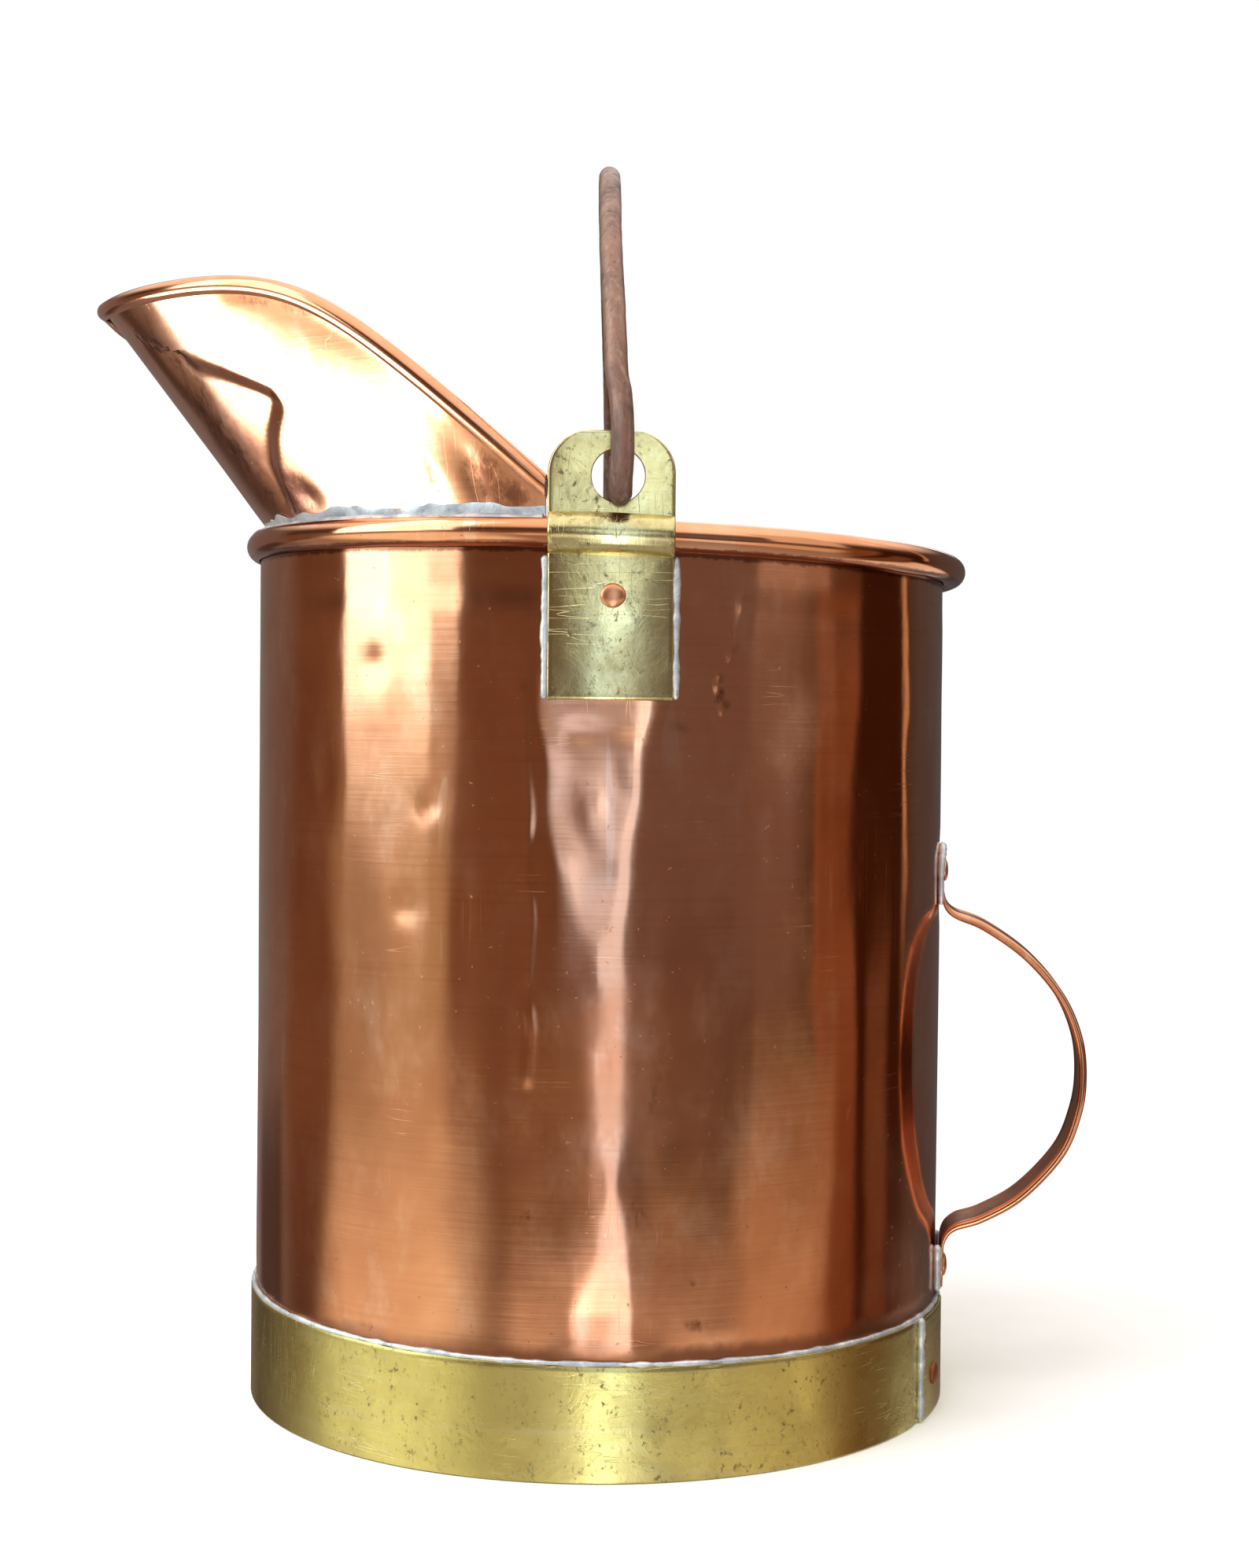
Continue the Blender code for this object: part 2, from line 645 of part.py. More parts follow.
def make_ear_solder():
    """Beads down both upright edges of each ear's lower plate."""
    radius = BODY_RADIUS + GAP + BEAD
    for side_name, side in (("left", -1), ("right", 1)):
        for edge_name, edge in (("front", -1), ("back", 1)):
            x = EAR_CENTRE + edge * (EAR_HALF_WIDTH + GAP + BEAD)
            y = side * math.sqrt(radius ** 2 - x ** 2)
            name = f"solder_ear_{side_name}_{edge_name}"
            path = [Vector((x, y, EAR_BEAD_LOW)), Vector((x, y, EAR_BEAD_HIGH))]
            add_object(name, rod(name, path, BEAD, 8, Vector((0, 1, 0))), "solder")


def make_strap_solder():
    """A bead round the upper tail's tip, and one beside each edge of the lower tail."""
    radius = BODY_RADIUS + GAP + BEAD
    half = math.degrees(math.asin((STRAP_WIDTH / 2 + GAP + 2 * BEAD) / radius))
    top = STRAP[0][1]
    low, high = UPPER_TAIL_BEAD_HEIGHTS
    narrow = UPPER_TAIL_BEAD_NARROWING
    side = ((1.0, low), (1.0, high), (narrow, top))
    shape = [(-share, z) for share, z in side] + [(0.0, top + 3 * BEAD)] + list(side[::-1])
    path = smooth_path([polar(radius, STRAP_ANGLE + half * side, z) for side, z in shape], 3)
    mesh = rod("solder_handle_top", path, BEAD, 8, polar(1.0, STRAP_ANGLE, 0.0))
    add_object("solder_handle_top", mesh, "solder")
    for name, side in (("near", -1), ("far", 1)):
        angle = STRAP_ANGLE + side * half
        path = [polar(radius, angle, height) for height in LOWER_TAIL_BEAD_HEIGHTS]
        node = f"solder_handle_{name}"
        add_object(node, rod(node, path, BEAD, 8, polar(1.0, STRAP_ANGLE, 0.0)), "solder")


def make_lap_solder():
    """Upright bead along the band's lap edge."""
    radius = BAND_INNER + BAND_SHEET + GAP + LAP_BEAD
    away = math.degrees((GAP + LAP_BEAD) / radius)
    path = [polar(radius, LAP_EDGE - away, height) for height in LAP_BEAD_HEIGHTS]
    add_object("solder_lap", rod("solder_lap", path, LAP_BEAD, 8, Vector((1, 0, 0))), "solder")


def set_on_axis():
    """Stand every piece, cutters too, on an empty at the body's axis."""
    pieces = list(bpy.context.scene.objects)
    stand = bpy.data.objects.new("body_axis", None)
    stand.location = (BODY_AXIS_X, 0.0, 0.0)
    bpy.context.scene.collection.objects.link(stand)
    for piece in pieces:
        piece.parent = stand


def main():
    clear_scene()
    body = make_body()
    make_rim_wire()
    make_hood()
    make_hood_wire()
    band = make_band()
    make_bottom()
    ears = {-1: make_ear("ear_left", -1), 1: make_ear("ear_right", 1)}
    strap = make_strap()
    make_rivets(body, ears, band, strap)
    make_bail()
    make_band_solder()
    make_hood_solder()
    make_ear_solder()
    make_strap_solder()
    make_lap_solder()
    set_on_axis()


main()
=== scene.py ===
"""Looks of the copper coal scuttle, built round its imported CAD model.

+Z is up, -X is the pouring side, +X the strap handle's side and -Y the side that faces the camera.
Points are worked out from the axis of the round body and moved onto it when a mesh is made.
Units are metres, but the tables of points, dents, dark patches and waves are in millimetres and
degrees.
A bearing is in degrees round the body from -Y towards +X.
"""
import math

import bpy
import numpy as np
from mathutils import Matrix, Vector


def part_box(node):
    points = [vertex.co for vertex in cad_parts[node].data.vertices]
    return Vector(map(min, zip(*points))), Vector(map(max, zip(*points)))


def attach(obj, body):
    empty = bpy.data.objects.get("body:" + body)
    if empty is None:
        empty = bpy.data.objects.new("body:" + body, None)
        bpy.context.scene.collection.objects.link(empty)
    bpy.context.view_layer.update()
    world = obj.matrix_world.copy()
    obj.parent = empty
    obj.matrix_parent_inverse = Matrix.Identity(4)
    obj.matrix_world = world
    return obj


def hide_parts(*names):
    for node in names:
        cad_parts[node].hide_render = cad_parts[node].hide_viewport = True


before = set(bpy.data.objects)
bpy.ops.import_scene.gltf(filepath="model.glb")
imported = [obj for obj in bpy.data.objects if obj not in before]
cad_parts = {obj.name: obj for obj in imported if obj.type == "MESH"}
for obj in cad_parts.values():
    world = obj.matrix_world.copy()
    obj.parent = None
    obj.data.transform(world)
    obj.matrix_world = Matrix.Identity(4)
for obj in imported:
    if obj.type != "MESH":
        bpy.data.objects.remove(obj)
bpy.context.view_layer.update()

MM = 0.001
GAP = 0.3 * MM
PLATE_LOW, PLATE_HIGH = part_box("bottom_plate")
AXIS_X = (PLATE_LOW[0] + PLATE_HIGH[0]) / 2

# Round body
BODY_RADIUS = 130.0 * MM
DEGREE = math.radians(1.0) * BODY_RADIUS
SHEET = 1.1 * MM
BODY_BOTTOM = 0.6 * MM
WALL_TOP = 300.0 * MM
WALL_COVERED = 34.0 * MM
SEAM = (98.0, 103.0)
SEAM_LOW = 44.0 * MM
SEAM_RAMP = 0.4
NEAR_ARC = 72.0
NEAR_STEP = 0.5
CREASE = (-12.7, -9.3)
CREASE_COLUMNS = 20
FAR_STEP = 0.9
WALL_STEP = 1.7 * MM

# Rolled rim: its centre line lies off the body's axis and falls towards the handle
RIM_RADIUS = 131.6 * MM
RIM_SHIFT = 1.67 * MM
RIM_HEIGHT = 314.2 * MM
RIM_FALL = 0.0272
RIM_ROLL = 5.2 * MM
RIM_SWELL = 0.14 * MM
SLIT = 0.4 * MM
# Extra wall rows just under the roll, which carry the painted shade there
UNDER_ROLL_ROWS = np.array([0.2, 1.3, 2.6]) * MM

# Hood
HOOD_SHEET = 1.0 * MM
HOOD_FOOT_INSET = 5.4 * MM
HOOD_FOOT_RISE = 4.1 * MM
MOUTH_LENGTH = 189.0 * MM
MOUTH_HALF_WIDTH = 128.0 * MM
MOUTH_HEIGHT = 403.2 * MM
LIP_RISE = 4.0 * MM
LIP_WIDTH = 23.0 * MM
MOUTH_SLOPE = 0.87
MOUTH_KNEE = -104.0 * MM
MOUTH_SOFTNESS = 14.0 * MM
HOOD_END = 19.6 * MM
HOOD_ROLL = 3.3 * MM
HOOD_STATIONS = 220
HOOD_ROWS = 44

# Foot band
BAND_INNER = 131.0 * MM
BAND_SHEET = 0.9 * MM
BAND_HEIGHT = 39.0 * MM
BAND_FALL = 0.0137
BAND_EDGE = 0.35 * MM
BAND_WAVE = 0.12 * MM
BAND_TOP_WAVE = 0.25 * MM
BAND_HAMMERING = 0.05 * MM
LAP_STEP = 0.6 * MM
LAP_EDGE = 63.0
LAP_FLAT_END = 80.0
LAP_JOGGLE_END = 82.0
LAP_INNER_START = 61.5
LAP_INNER_END = 78.0

# Ears
EAR_CENTRE = 2.0 * MM
EAR_HALF_WIDTH = 21.0 * MM
EAR_BOTTOM = 259.5 * MM
EAR_TOP = 348.0 * MM
EAR_CORNER = 14.0 * MM
EAR_SHEET = 1.6 * MM
EAR_FLAT = 131.3 * MM
EAR_EDGE = 0.7 * MM
EAR_HOLE = (4.1 * MM, 333.2 * MM)
EAR_HOLE_RADIUS = 8.8 * MM
# Cutter of the hole: (place through the plate, wear of the hole there), in millimetres
HOLE_PROFILE = ((-3, 0.5), (-0.9, 0.35), (-0.45, 0), (0.45, 0), (0.9, 0.35), (3, 0.5))
EAR_HAMMERING = 0.05 * MM
EAR_RIVET = (2.7 * MM, 293.9 * MM)

# Solder against the rim's roll, in degrees from straight up
SEAT_TURNS = (34.0, -22.0)

# Rivets
RIVET_HEAD = 4.25 * MM
RIVET_DOME = 1.5 * MM
RIVET_SHANK = 2.3 * MM
RIVET_TAIL = 3.7 * MM
RIVET_TAIL_DEPTH = 1.3 * MM
BAND_RIVET = (69.5, 14.3 * MM)

# Bail
BAIL_ROD = 3.9 * MM
PIVOT_X = 4.8 * MM
# Swellings of the rust: (depth, cells across, cells along, seed)
RUST_WAVES = ((0.07, 1, 1, 41), (0.05, 2, 2.3, 42))
# (x, distance from the middle plane, height) of the hook's centre line, in millimetres
HOOK = ((4.8, 118.5, 342), (4.8, 121, 334), (4.8, 126.5, 330.2), (4.8, 132.9, 329.5),
        (4.8, 138, 327), (4.9, 141.7, 331), (5.3, 142.3, 341), (5.1, 141.7, 351),
        (4.4, 139.9, 359))
BOW_X = 1.2 * MM
BOW_NEAR_BEND = 2.1 * MM
BOW_NEAR_FADE = 50.0 * MM
BOW_FAR_BEND = 4.9 * MM
BOW_TOP = 458.3 * MM
BOW_RADIUS = 147.5 * MM
BOW_FIRST_ANGLE = 22.0

# Strap handle
STRAP_BEARING = 82.5
STRAP_WIDTH = 24.5 * MM
LOOP_SHEET = 3.1 * MM
TAIL_SHEET = 1.3 * MM
TAIL_LENGTH = 16.0 * MM
TAIL_TAPER = 12.0 * MM
STRAP_TIP = 6.0 * MM
STRAP_TIP_WIDTH = 0.45
STRAP_WAVER = 0.35 * MM
# (distance from the axis, height) of the strap's mid-sheet, in millimetres
STRAP = ((131, 205), (131, 198), (131.2, 190), (134.6, 182.9), (147, 177.6),
         (162.6, 166.8), (175.2, 152.3), (182.1, 136.5), (183.7, 121), (181.7, 107),
         (175.6, 92.3), (161.5, 76.7), (147.2, 68), (137, 64.3), (132.9, 59.5),
         (132.2, 52), (132.1, 40.4))
STRAP_RIVETS = (
    ("handle_rivet_top", 198.2 * MM, 131.7 * MM),
    ("handle_rivet_bottom", 48.0 * MM, 132.8 * MM),
)

# Ridge and creases of the body's wall: (bearing, height) along each line
RIDGE = ((-7.7, 262), (-7.7, 249), (-3.0, 228), (2.2, 209), (1.2, 180), (0.7, 153), (0.3, 116),
         (3.3, 75), (2.8, 48), (2.8, 38))
# Hollows beside the ridge: depth, distance from it and half width, in millimetres
RIDGE_HOLLOW = (0.22, 12.0, 7.5)
RIDGE_ROUND = 2.2 * MM
# The wall is beaten flat along the ridge: (height, bearing of the middle, half width in degrees)
FACET = ((38, 0.5, 4.0), (55, 0.3, 4.0), (75, 1.6, 2.0), (90, 1.0, 1.6), (120, 0.5, 1.5),
         (160, -0.6, 1.8), (180, -0.2, 2.3), (195, -0.8, 3.6), (215, -1.4, 5.3), (240, -1.7, 7.0),
         (270, -1.5, 8.8))
FACET_SOFTNESS = 0.34
FACET_LEAST_SOFT = 0.03 * MM
FACET_LOW_END = (37 * MM, 46 * MM)
FACET_HIGH_END = (262 * MM, 288 * MM)
SEAM_CREASE = ((-11.8, 262), (-11.5, 240), (-10.9, 222), (-11.3, 205), (-10.4, 188), (-10.9, 165),
               (-10.3, 150), (-10.7, 134))
DING_CREASE = ((20.9, 296), (20.4, 284), (19.2, 274), (17.4, 265), (18.0, 255))
SEAM_CREASE_RISE = 0.40 * MM
SEAM_CREASE_WIDTH = 2.1 * MM
DING_CREASE_DEPTH = 0.20 * MM
DING_CREASE_WIDTH = 2.2 * MM
# Waves of the hammered wall: (depth, cells round the body, height of a cell, seed)
WAVES = ((0.30, 16, 170, 1), (0.10, 34, 70, 2), (0.05, 60, 20, 3))
# (bearing, height, half width, half height, depth), in degrees and millimetres
DENTS = (
    (20.9, 293, 2, 2.6, -0.45),
    (19.3, 274.5, 1.8, 2.2, -0.35),
    (17.2, 265, 2.2, 2, -0.45),
    (18.4, 256.5, 2, 2.2, -0.40),
    (13, 246, 9, 12, -0.35),
    (-5.5, 236, 6, 18, -0.22),
    (4.6, 232, 5, 16, 0.20),
    (-1.5, 222, 4, 9, 0.14),
    (-1, 172, 3, 12, 0.10),
    (0.9, 139, 3, 10, -0.09),
    (1.6, 98, 3, 8, 0.09),
    (17.6, 215, 3, 60, -0.16),
    (24, 150, 4, 50, 0.14),
    (36.5, 200, 3.5, 70, -0.16),
    (-20.5, 180, 4, 60, -0.12),
    (-26.6, 224, 5, 5, -0.35),
    (-30.6, 189, 5.5, 5, -0.35),
    (-37, 271, 5, 6, -0.40),
    (-48, 232, 7, 14, -0.40),
    (30, 262, 18, 22, -0.45),
    (46, 215, 14, 40, -0.50),
    (-52, 130, 12, 60, -0.45),
    (33, 110, 12, 50, -0.40),
    (140, 120, 20, 26, -0.90),
    (170, 210, 14, 30, -0.60),
    (-150, 170, 24, 30, -0.90),
    (-110, 90, 12, 16, -0.60),
    (-125, 250, 16, 12, -0.50),
)

# Where an ear or a tail of the strap holds the wall: (bearing, half width, lower and upper end)
HELD_PLACES = ((0.9, 11.5, 252, 320), (179.1, 11.5, 252, 320), (STRAP_BEARING, 8.0, 180, 212),
               (STRAP_BEARING, 8.0, 36, 66))

# Brown tarnish on the wall: (bearing, height, half width, half height, strength)
WALL_STAINS = (
    (-10, 88, 14, 6, 0.42),
    (5.5, 90, 7, 8, 0.45),
    (14.5, 51.5, 5.5, 3, 0.62),
    (14, 66, 3, 2.4, 0.60),
    (7.5, 125, 6, 44, 0.34),
    (-7.5, 120, 7, 40, 0.30),
    (20, 275, 5, 22, 0.42),
    (17.5, 262, 4, 5, 0.55),
    (-38, 45, 7, 2.5, 0.55),
    (57, 130, 8, 70, 0.40),
    (28, 70, 16, 20, 0.22),
)

# The hood's fold: (share of its length round, share of its slant height)
HOOD_HALF_LENGTH = 178.0 * MM
HOOD_SLANT = 92.0 * MM
HOOD_FOLD = ((-0.37, 0.73), (-0.44, 0.67), (-0.54, 0.57), (-0.545, 0.49), (-0.48, 0.36), (-0.42, 0.22),
             (-0.38, 0.02))
# Waves of the hood: (depth, cells round a half, rows of cells, first cell, seed)
HOOD_WAVES = ((0.30, 7, 1.5, 20, 11), (0.10, 18, 4, 40, 12))
FOLD_DEPTH = 3.0 * MM
FOLD_WIDTH = 7.5 * MM
FOLD_FADE = 24.0 * MM
# (share round, share up, half width, half height, depth)
HOOD_DENTS = (
    (-0.47, 0.10, 9, 9, -0.9),
    (-0.885, 0.35, 4, 30, -0.35),
    (0.35, 0.55, 16, 18, -0.9),
    (0.05, 0.35, 20, 16, -0.5),
)
# Painted shade on the hood's outside, patches darkened to stand for dark reflections: (share round,
# share up, half width, half height, strength)
HOOD_SHADE = (
    (-0.45, 0.14, 15, 13, 0.75),
    (-0.30, 0.45, 13, 60, 0.60),
    (-0.93, 0.40, 13, 34, 0.80),
    (-0.80, 0.28, 5, 16, 0.70),
    (-0.62, 0.94, 46, 4, 0.55),
)

# Colours
COPPER = (0.80, 0.37, 0.20)
COPPER_DEEP = (0.58, 0.21, 0.095)
COPPER_PALE = (0.86, 0.50, 0.34)
COPPER_BROWN = (0.28, 0.10, 0.045)
# Dark tarnish colour, which also paints the shade under the rim's roll and on the hood
COPPER_TARNISH_AND_SHADE = (0.20, 0.065, 0.035)
# Soot inside the bucket; the same colour paints the shade on the strap's inner face
SOOT_AND_SHADE = (0.055, 0.042, 0.035)
BRASS = (0.72, 0.60, 0.20)
BRASS_SILVERY = (0.70, 0.61, 0.30)
BRASS_PALE = (0.78, 0.70, 0.40)
BRASS_DARK = (0.17, 0.125, 0.05)
BRASS_BROWN = (0.36, 0.25, 0.10)
RUST = (0.27, 0.135, 0.092)
RUST_DEEP = (0.12, 0.062, 0.047)
RUST_PIT = (0.055, 0.030, 0.024)
IRON_GREY = (0.36, 0.25, 0.20)
SOLDER = (0.78, 0.79, 0.80)
SOLDER_BLUE = (0.44, 0.46, 0.49)
SOLDER_DIRT = (0.13, 0.12, 0.115)
WIRE = (0.40, 0.38, 0.36)
WIRE_DARK = (0.20, 0.18, 0.17)
FLOOR_WHITE = (0.86, 0.86, 0.86)
FLOOR_PALE = (0.90, 0.90, 0.895)
SCRATCH_WIDTH = 0.007
SCRATCH_FADE = 0.14

# Camera
CAMERA_PLACE = (-2.32 * MM, -894.84 * MM, 246.09 * MM)
CAMERA_TURN = -0.01902
CAMERA_TILT = 0.01848
CAMERA_ROLL = 0.00887
LENS = 53.23
SENSOR = 36.0


# ---- shapes

def smooth_step(value, low, high):
    share = np.clip((value - low) / (high - low), 0.0, 1.0)
    return share * share * (3.0 - 2.0 * share)


def even_fade(share):
    """From 0 to 1 with no kink in slope or in bend, so that reflections stay smooth."""
    return share ** 3 * (share * (share * 6 - 15) + 10)


def value_noise(across, up, seed, wrap=256):
    """Smooth noise between -1 and 1, one cell for each unit; it repeats across after wrap cells."""
    table = np.random.default_rng(seed).uniform(-1.0, 1.0, (wrap, 256))
    column = np.floor(across).astype(int)
    row = np.floor(up).astype(int)
    side = even_fade(across - column)
    rise = even_fade(up - row)
    left, right = column % wrap, (column + 1) % wrap
    low, high = row % 256, (row + 1) % 256
    bottom = table[left, low] * (1 - side) + table[right, low] * side
    top = table[left, high] * (1 - side) + table[right, high] * side
    return bottom * (1 - rise) + top * rise


def line_noise(count, cells, seed):
    """Smooth noise along a line of points."""
    return value_noise(np.linspace(0.0, cells, count), np.zeros(count), seed)


def polar(radius, bearing, height):
    """A point at a bearing: 0 is the near side (-Y) and 90 the handle's side (+X)."""
    turn = math.radians(bearing)
    return Vector((radius * math.sin(turn), -radius * math.cos(turn), height))


def spread(start, end, steps):
    return [start + (end - start) * step / steps for step in range(steps + 1)]


def arc(centre, radius, start, end, steps):
    turns = [math.radians(angle) for angle in spread(start, end, steps)]
    return [(centre[0] + radius * math.cos(t), centre[1] + radius * math.sin(t)) for t in turns]


def smooth_path(points, steps):
    """A Catmull-Rom curve through the points."""
    points = [Vector(point) for point in points]
    padded = [2 * points[0] - points[1], *points, 2 * points[-1] - points[-2]]
    path = []
    for before, start, end, after in zip(padded, padded[1:], padded[2:], padded[3:]):
        for step in range(steps):
            t = step / steps
            path.append(0.5 * (
                2 * start + (end - before) * t
                + (2 * before - 5 * start + 4 * end - after) * t ** 2
                + (3 * start - before - 3 * end + after) * t ** 3))
    return path + [points[-1]]


def skin(name, rings, looped=False):
    """A closed mesh through rings of equal point counts; open ends are capped."""
    rings = np.array(rings, dtype=float)
    count, size = rings.shape[:2]
    index = np.arange(count * size).reshape(count, size)
    first = index if looped else index[:-1]
    second = np.roll(index, -1, axis=0) if looped else index[1:]
    quads = np.stack([first, np.roll(first, -1, 1), np.roll(second, -1, 1), second], axis=-1)
    faces = quads.reshape(-1, 4).tolist()
    if not looped:
        faces.append(index[0][::-1].tolist())
        faces.append(index[-1].tolist())
    points = rings.reshape(-1, 3)
    corners = points[quads.reshape(-1, 4)]
    volume = 0.0
    for second_corner, third_corner in ((1, 2), (2, 3)):
        normal = np.cross(corners[:, second_corner], corners[:, third_corner])
        volume += float((corners[:, 0] * normal).sum())
    if volume < 0:
        faces = [face[::-1] for face in faces]
    mesh = bpy.data.meshes.new(name)
    mesh.from_pydata((points + [AXIS_X, 0.0, 0.0]).tolist(), [], faces)
    mesh.shade_smooth()
    mesh.set_sharp_from_angle(angle=math.radians(40.0))
    return mesh


def paint(mesh, name, values):
    """Store one number for each point, for the material to read."""
    layer = mesh.attributes.new(name, "FLOAT", "POINT")
    layer.data.foreach_set("value", np.asarray(values, dtype=np.float32).ravel())


def new_object(name, data):
    """A new object, linked to the scene."""
    thing = bpy.data.objects.new(name, data)
    bpy.context.scene.collection.objects.link(thing)
    return thing


def place(name, mesh, material, body, slot, *nodes):
    """Add a piece, ride it on its body and hide the CAD nodes it stands for."""
    mesh.materials.append(material)
    piece = new_object(name, mesh)
    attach(piece, body)
    if nodes:
        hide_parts(*nodes)
    return piece


def circle(centre, across, other, radii, turns):
    return [centre + (across * math.cos(t) + other * math.sin(t)) * float(r)
            for r, t in zip(radii, turns)]


def rod_rings(path, radii, sides, reference, looped=False):
    """Circles round a path, each with its own radius, or its own row of radii."""
    count = len(path)
    turns = [2 * math.pi * side / sides for side in range(sides)]
    rings = []
    for index, point in enumerate(path):
        if looped:
            tangent = path[(index + 1) % count] - path[index - 1]
        else:
            tangent = path[min(index + 1, count - 1)] - path[max(index - 1, 0)]
        across = tangent.cross(reference).normalized()
        other = across.cross(tangent).normalized()
        rings.append(circle(point, across, other, np.broadcast_to(radii[index], (sides,)), turns))
    return rings


def line_gap(across, up, course):
    """Distance of points from a course of 2-D vectors, below zero on its right-hand side."""
    nearest = np.full(np.shape(across), 1.0)
    for start, end in zip(course, course[1:]):
        step = end - start
        x, y = across - start.x, up - start.y
        share = np.clip((x * step.x + y * step.y) / step.length_squared, 0.0, 1.0)
        x, y = x - share * step.x, y - share * step.y
        gap = np.copysign(np.hypot(x, y), step.x * y - step.y * x)
        nearest = np.where(np.abs(gap) < np.abs(nearest), gap, nearest)
    return nearest


def wall_gap(bearing, height, line):
    """Distance of points on the unrolled wall from a smooth line of (bearing, height)."""
    course = smooth_path([(b * DEGREE, z * MM, 0.0) for b, z in line], 5)
    return np.abs(line_gap(np.radians(bearing) * BODY_RADIUS, height, course))


def spots(across, up, table, wide, tall):
    """Round dents and dark patches at a point, the wall's tarnishing and the hood's painted shade; wide
    and tall turn their places into metres.
    """
    for middle, height, half_width, half_height, strength in table:
        away = (across - middle + 180.0) % 360.0 - 180.0
        side = away * wide / (half_width * MM)
        rise = (up - height) * tall / (half_height * MM)
        yield strength * np.exp(-side ** 2 - rise ** 2)


def darkening_at(*spot):
    """Strength of the darkening at a point: brown tarnishing on the wall, painted shade on the hood."""
    return np.max(list(spots(*spot)), axis=0)


# ---- body

def rim_centre(bearing):
    """Radius and height of the rim roll's centre line."""
    towards_handle = math.sin(math.radians(bearing))
    radius = RIM_RADIUS + RIM_SHIFT * towards_handle
    return radius, RIM_HEIGHT - RIM_FALL * radius * towards_handle


def wired_edge(roll, sheet, inner_face, outer_steps, inner_steps):
    """Outline of a sheet edge curled round a wire, about the wire's centre."""
    outer_face = inner_face + sheet
    end_offset = outer_face + SLIT
    hollow = roll - sheet
    nearest = hollow if end_offset > 0 else roll
    start = 360.0 - math.degrees(math.acos(inner_face / roll))
    end = -math.degrees(math.acos(end_offset / nearest))
    inside_end = 360.0 - math.degrees(math.acos(max(-1.0, outer_face / hollow)))
    outside = arc((0.0, 0.0), roll, start, end, outer_steps)
    inside = arc((0.0, 0.0), hollow, end, inside_end, inner_steps)
    return outside + inside


def wall_shift(bearing, height):
    """How far the hammered and dented wall stands off its true cylinder."""
    turn = (bearing + 180.0) / 360.0
    shift = MM * sum(spots(bearing, height / MM, DENTS, DEGREE, MM))
    for depth, cells, tall, seed in WAVES:
        shift += depth * MM * value_noise(turn * cells, height / (tall * MM), seed, cells)
    depth, away, wide = RIDGE_HOLLOW
    ridge = np.hypot(wall_gap(bearing, height, RIDGE), RIDGE_ROUND)
    shift -= depth * MM * np.exp(-((ridge / MM - away) / wide) ** 2)
    crease = wall_gap(bearing, height, SEAM_CREASE) / SEAM_CREASE_WIDTH
    uneven = 0.6 + 0.4 * value_noise(np.full(height.shape, 3.5), height / (9 * MM), 4)
    shift += SEAM_CREASE_RISE * uneven * np.exp(-crease ** 2)
    crease = wall_gap(bearing, height, DING_CREASE) / DING_CREASE_WIDTH
    shift -= DING_CREASE_DEPTH * np.exp(-crease ** 2)
    return shift * wall_freedom(bearing, height) + facet_shift(bearing, height)


def facet_shift(bearing, height):
    """Flat facet with ragged, softened edges; it runs on up behind the near ear."""
    level, middle, half = np.array(FACET, dtype=float).T
    ragged = value_noise(np.full(height.shape, 9.5), height / (15 * MM), 5)
    waver = value_noise(np.full(height.shape, 17.5), height / (11 * MM), 6)
    half = np.radians(np.interp(height / MM, level, half) * (1 + 0.08 * ragged))
    away = np.radians(bearing - np.interp(height / MM, level, middle) - 0.5 * waver)
    deepest = BODY_RADIUS * (1 - np.cos(half))
    chord = BODY_RADIUS * (1 - np.cos(half) / np.cos(np.clip(away, -1.0, 1.0)))
    soft = FACET_SOFTNESS * deepest + FACET_LEAST_SOFT
    free = smooth_step(height, *FACET_LOW_END) * (1 - smooth_step(height, *FACET_HIGH_END))
    return -free * (chord + np.hypot(chord, soft)) / 2


def wall_freedom(bearing, height):
    """0 where the wall is held by the band, the rim, an ear or the handle, and 1 elsewhere."""
    free = smooth_step(height, 37 * MM, 50 * MM) * (1 - smooth_step(height, 288 * MM, 299 * MM))
    for centre, half, low, high in HELD_PLACES:
        away = np.abs((bearing - centre + 180.0) % 360.0 - 180.0)
        beside = smooth_step(away, half - 2.5, half + 1.5)
        outside = 1 - smooth_step(height, (low - 4) * MM, (low + 4) * MM)
        outside = np.maximum(outside, smooth_step(height, (high - 4) * MM, (high + 4) * MM))
        free = free * np.maximum(beside, outside)
    return free


def body_bearings():
    """Bearings of the body's columns: closer together on the near side and at the seam."""
    near = [b for b in np.arange(-NEAR_ARC, NEAR_ARC, NEAR_STEP) if not CREASE[0] < b < CREASE[1]]
    near += list(np.linspace(*CREASE, CREASE_COLUMNS))
    far = [b for b in np.arange(NEAR_ARC, 360.0 - NEAR_ARC, FAR_STEP)
           if not SEAM[0] - 1.0 < b < SEAM[1] + 1.0]
    low, high = SEAM
    seam = [low - SEAM_RAMP, low - 0.2, low, (low + high) / 2, high, high + 0.2, high + SEAM_RAMP]
    return [(b + 180.0) % 360.0 - 180.0 for b in sorted(near + far + seam)]


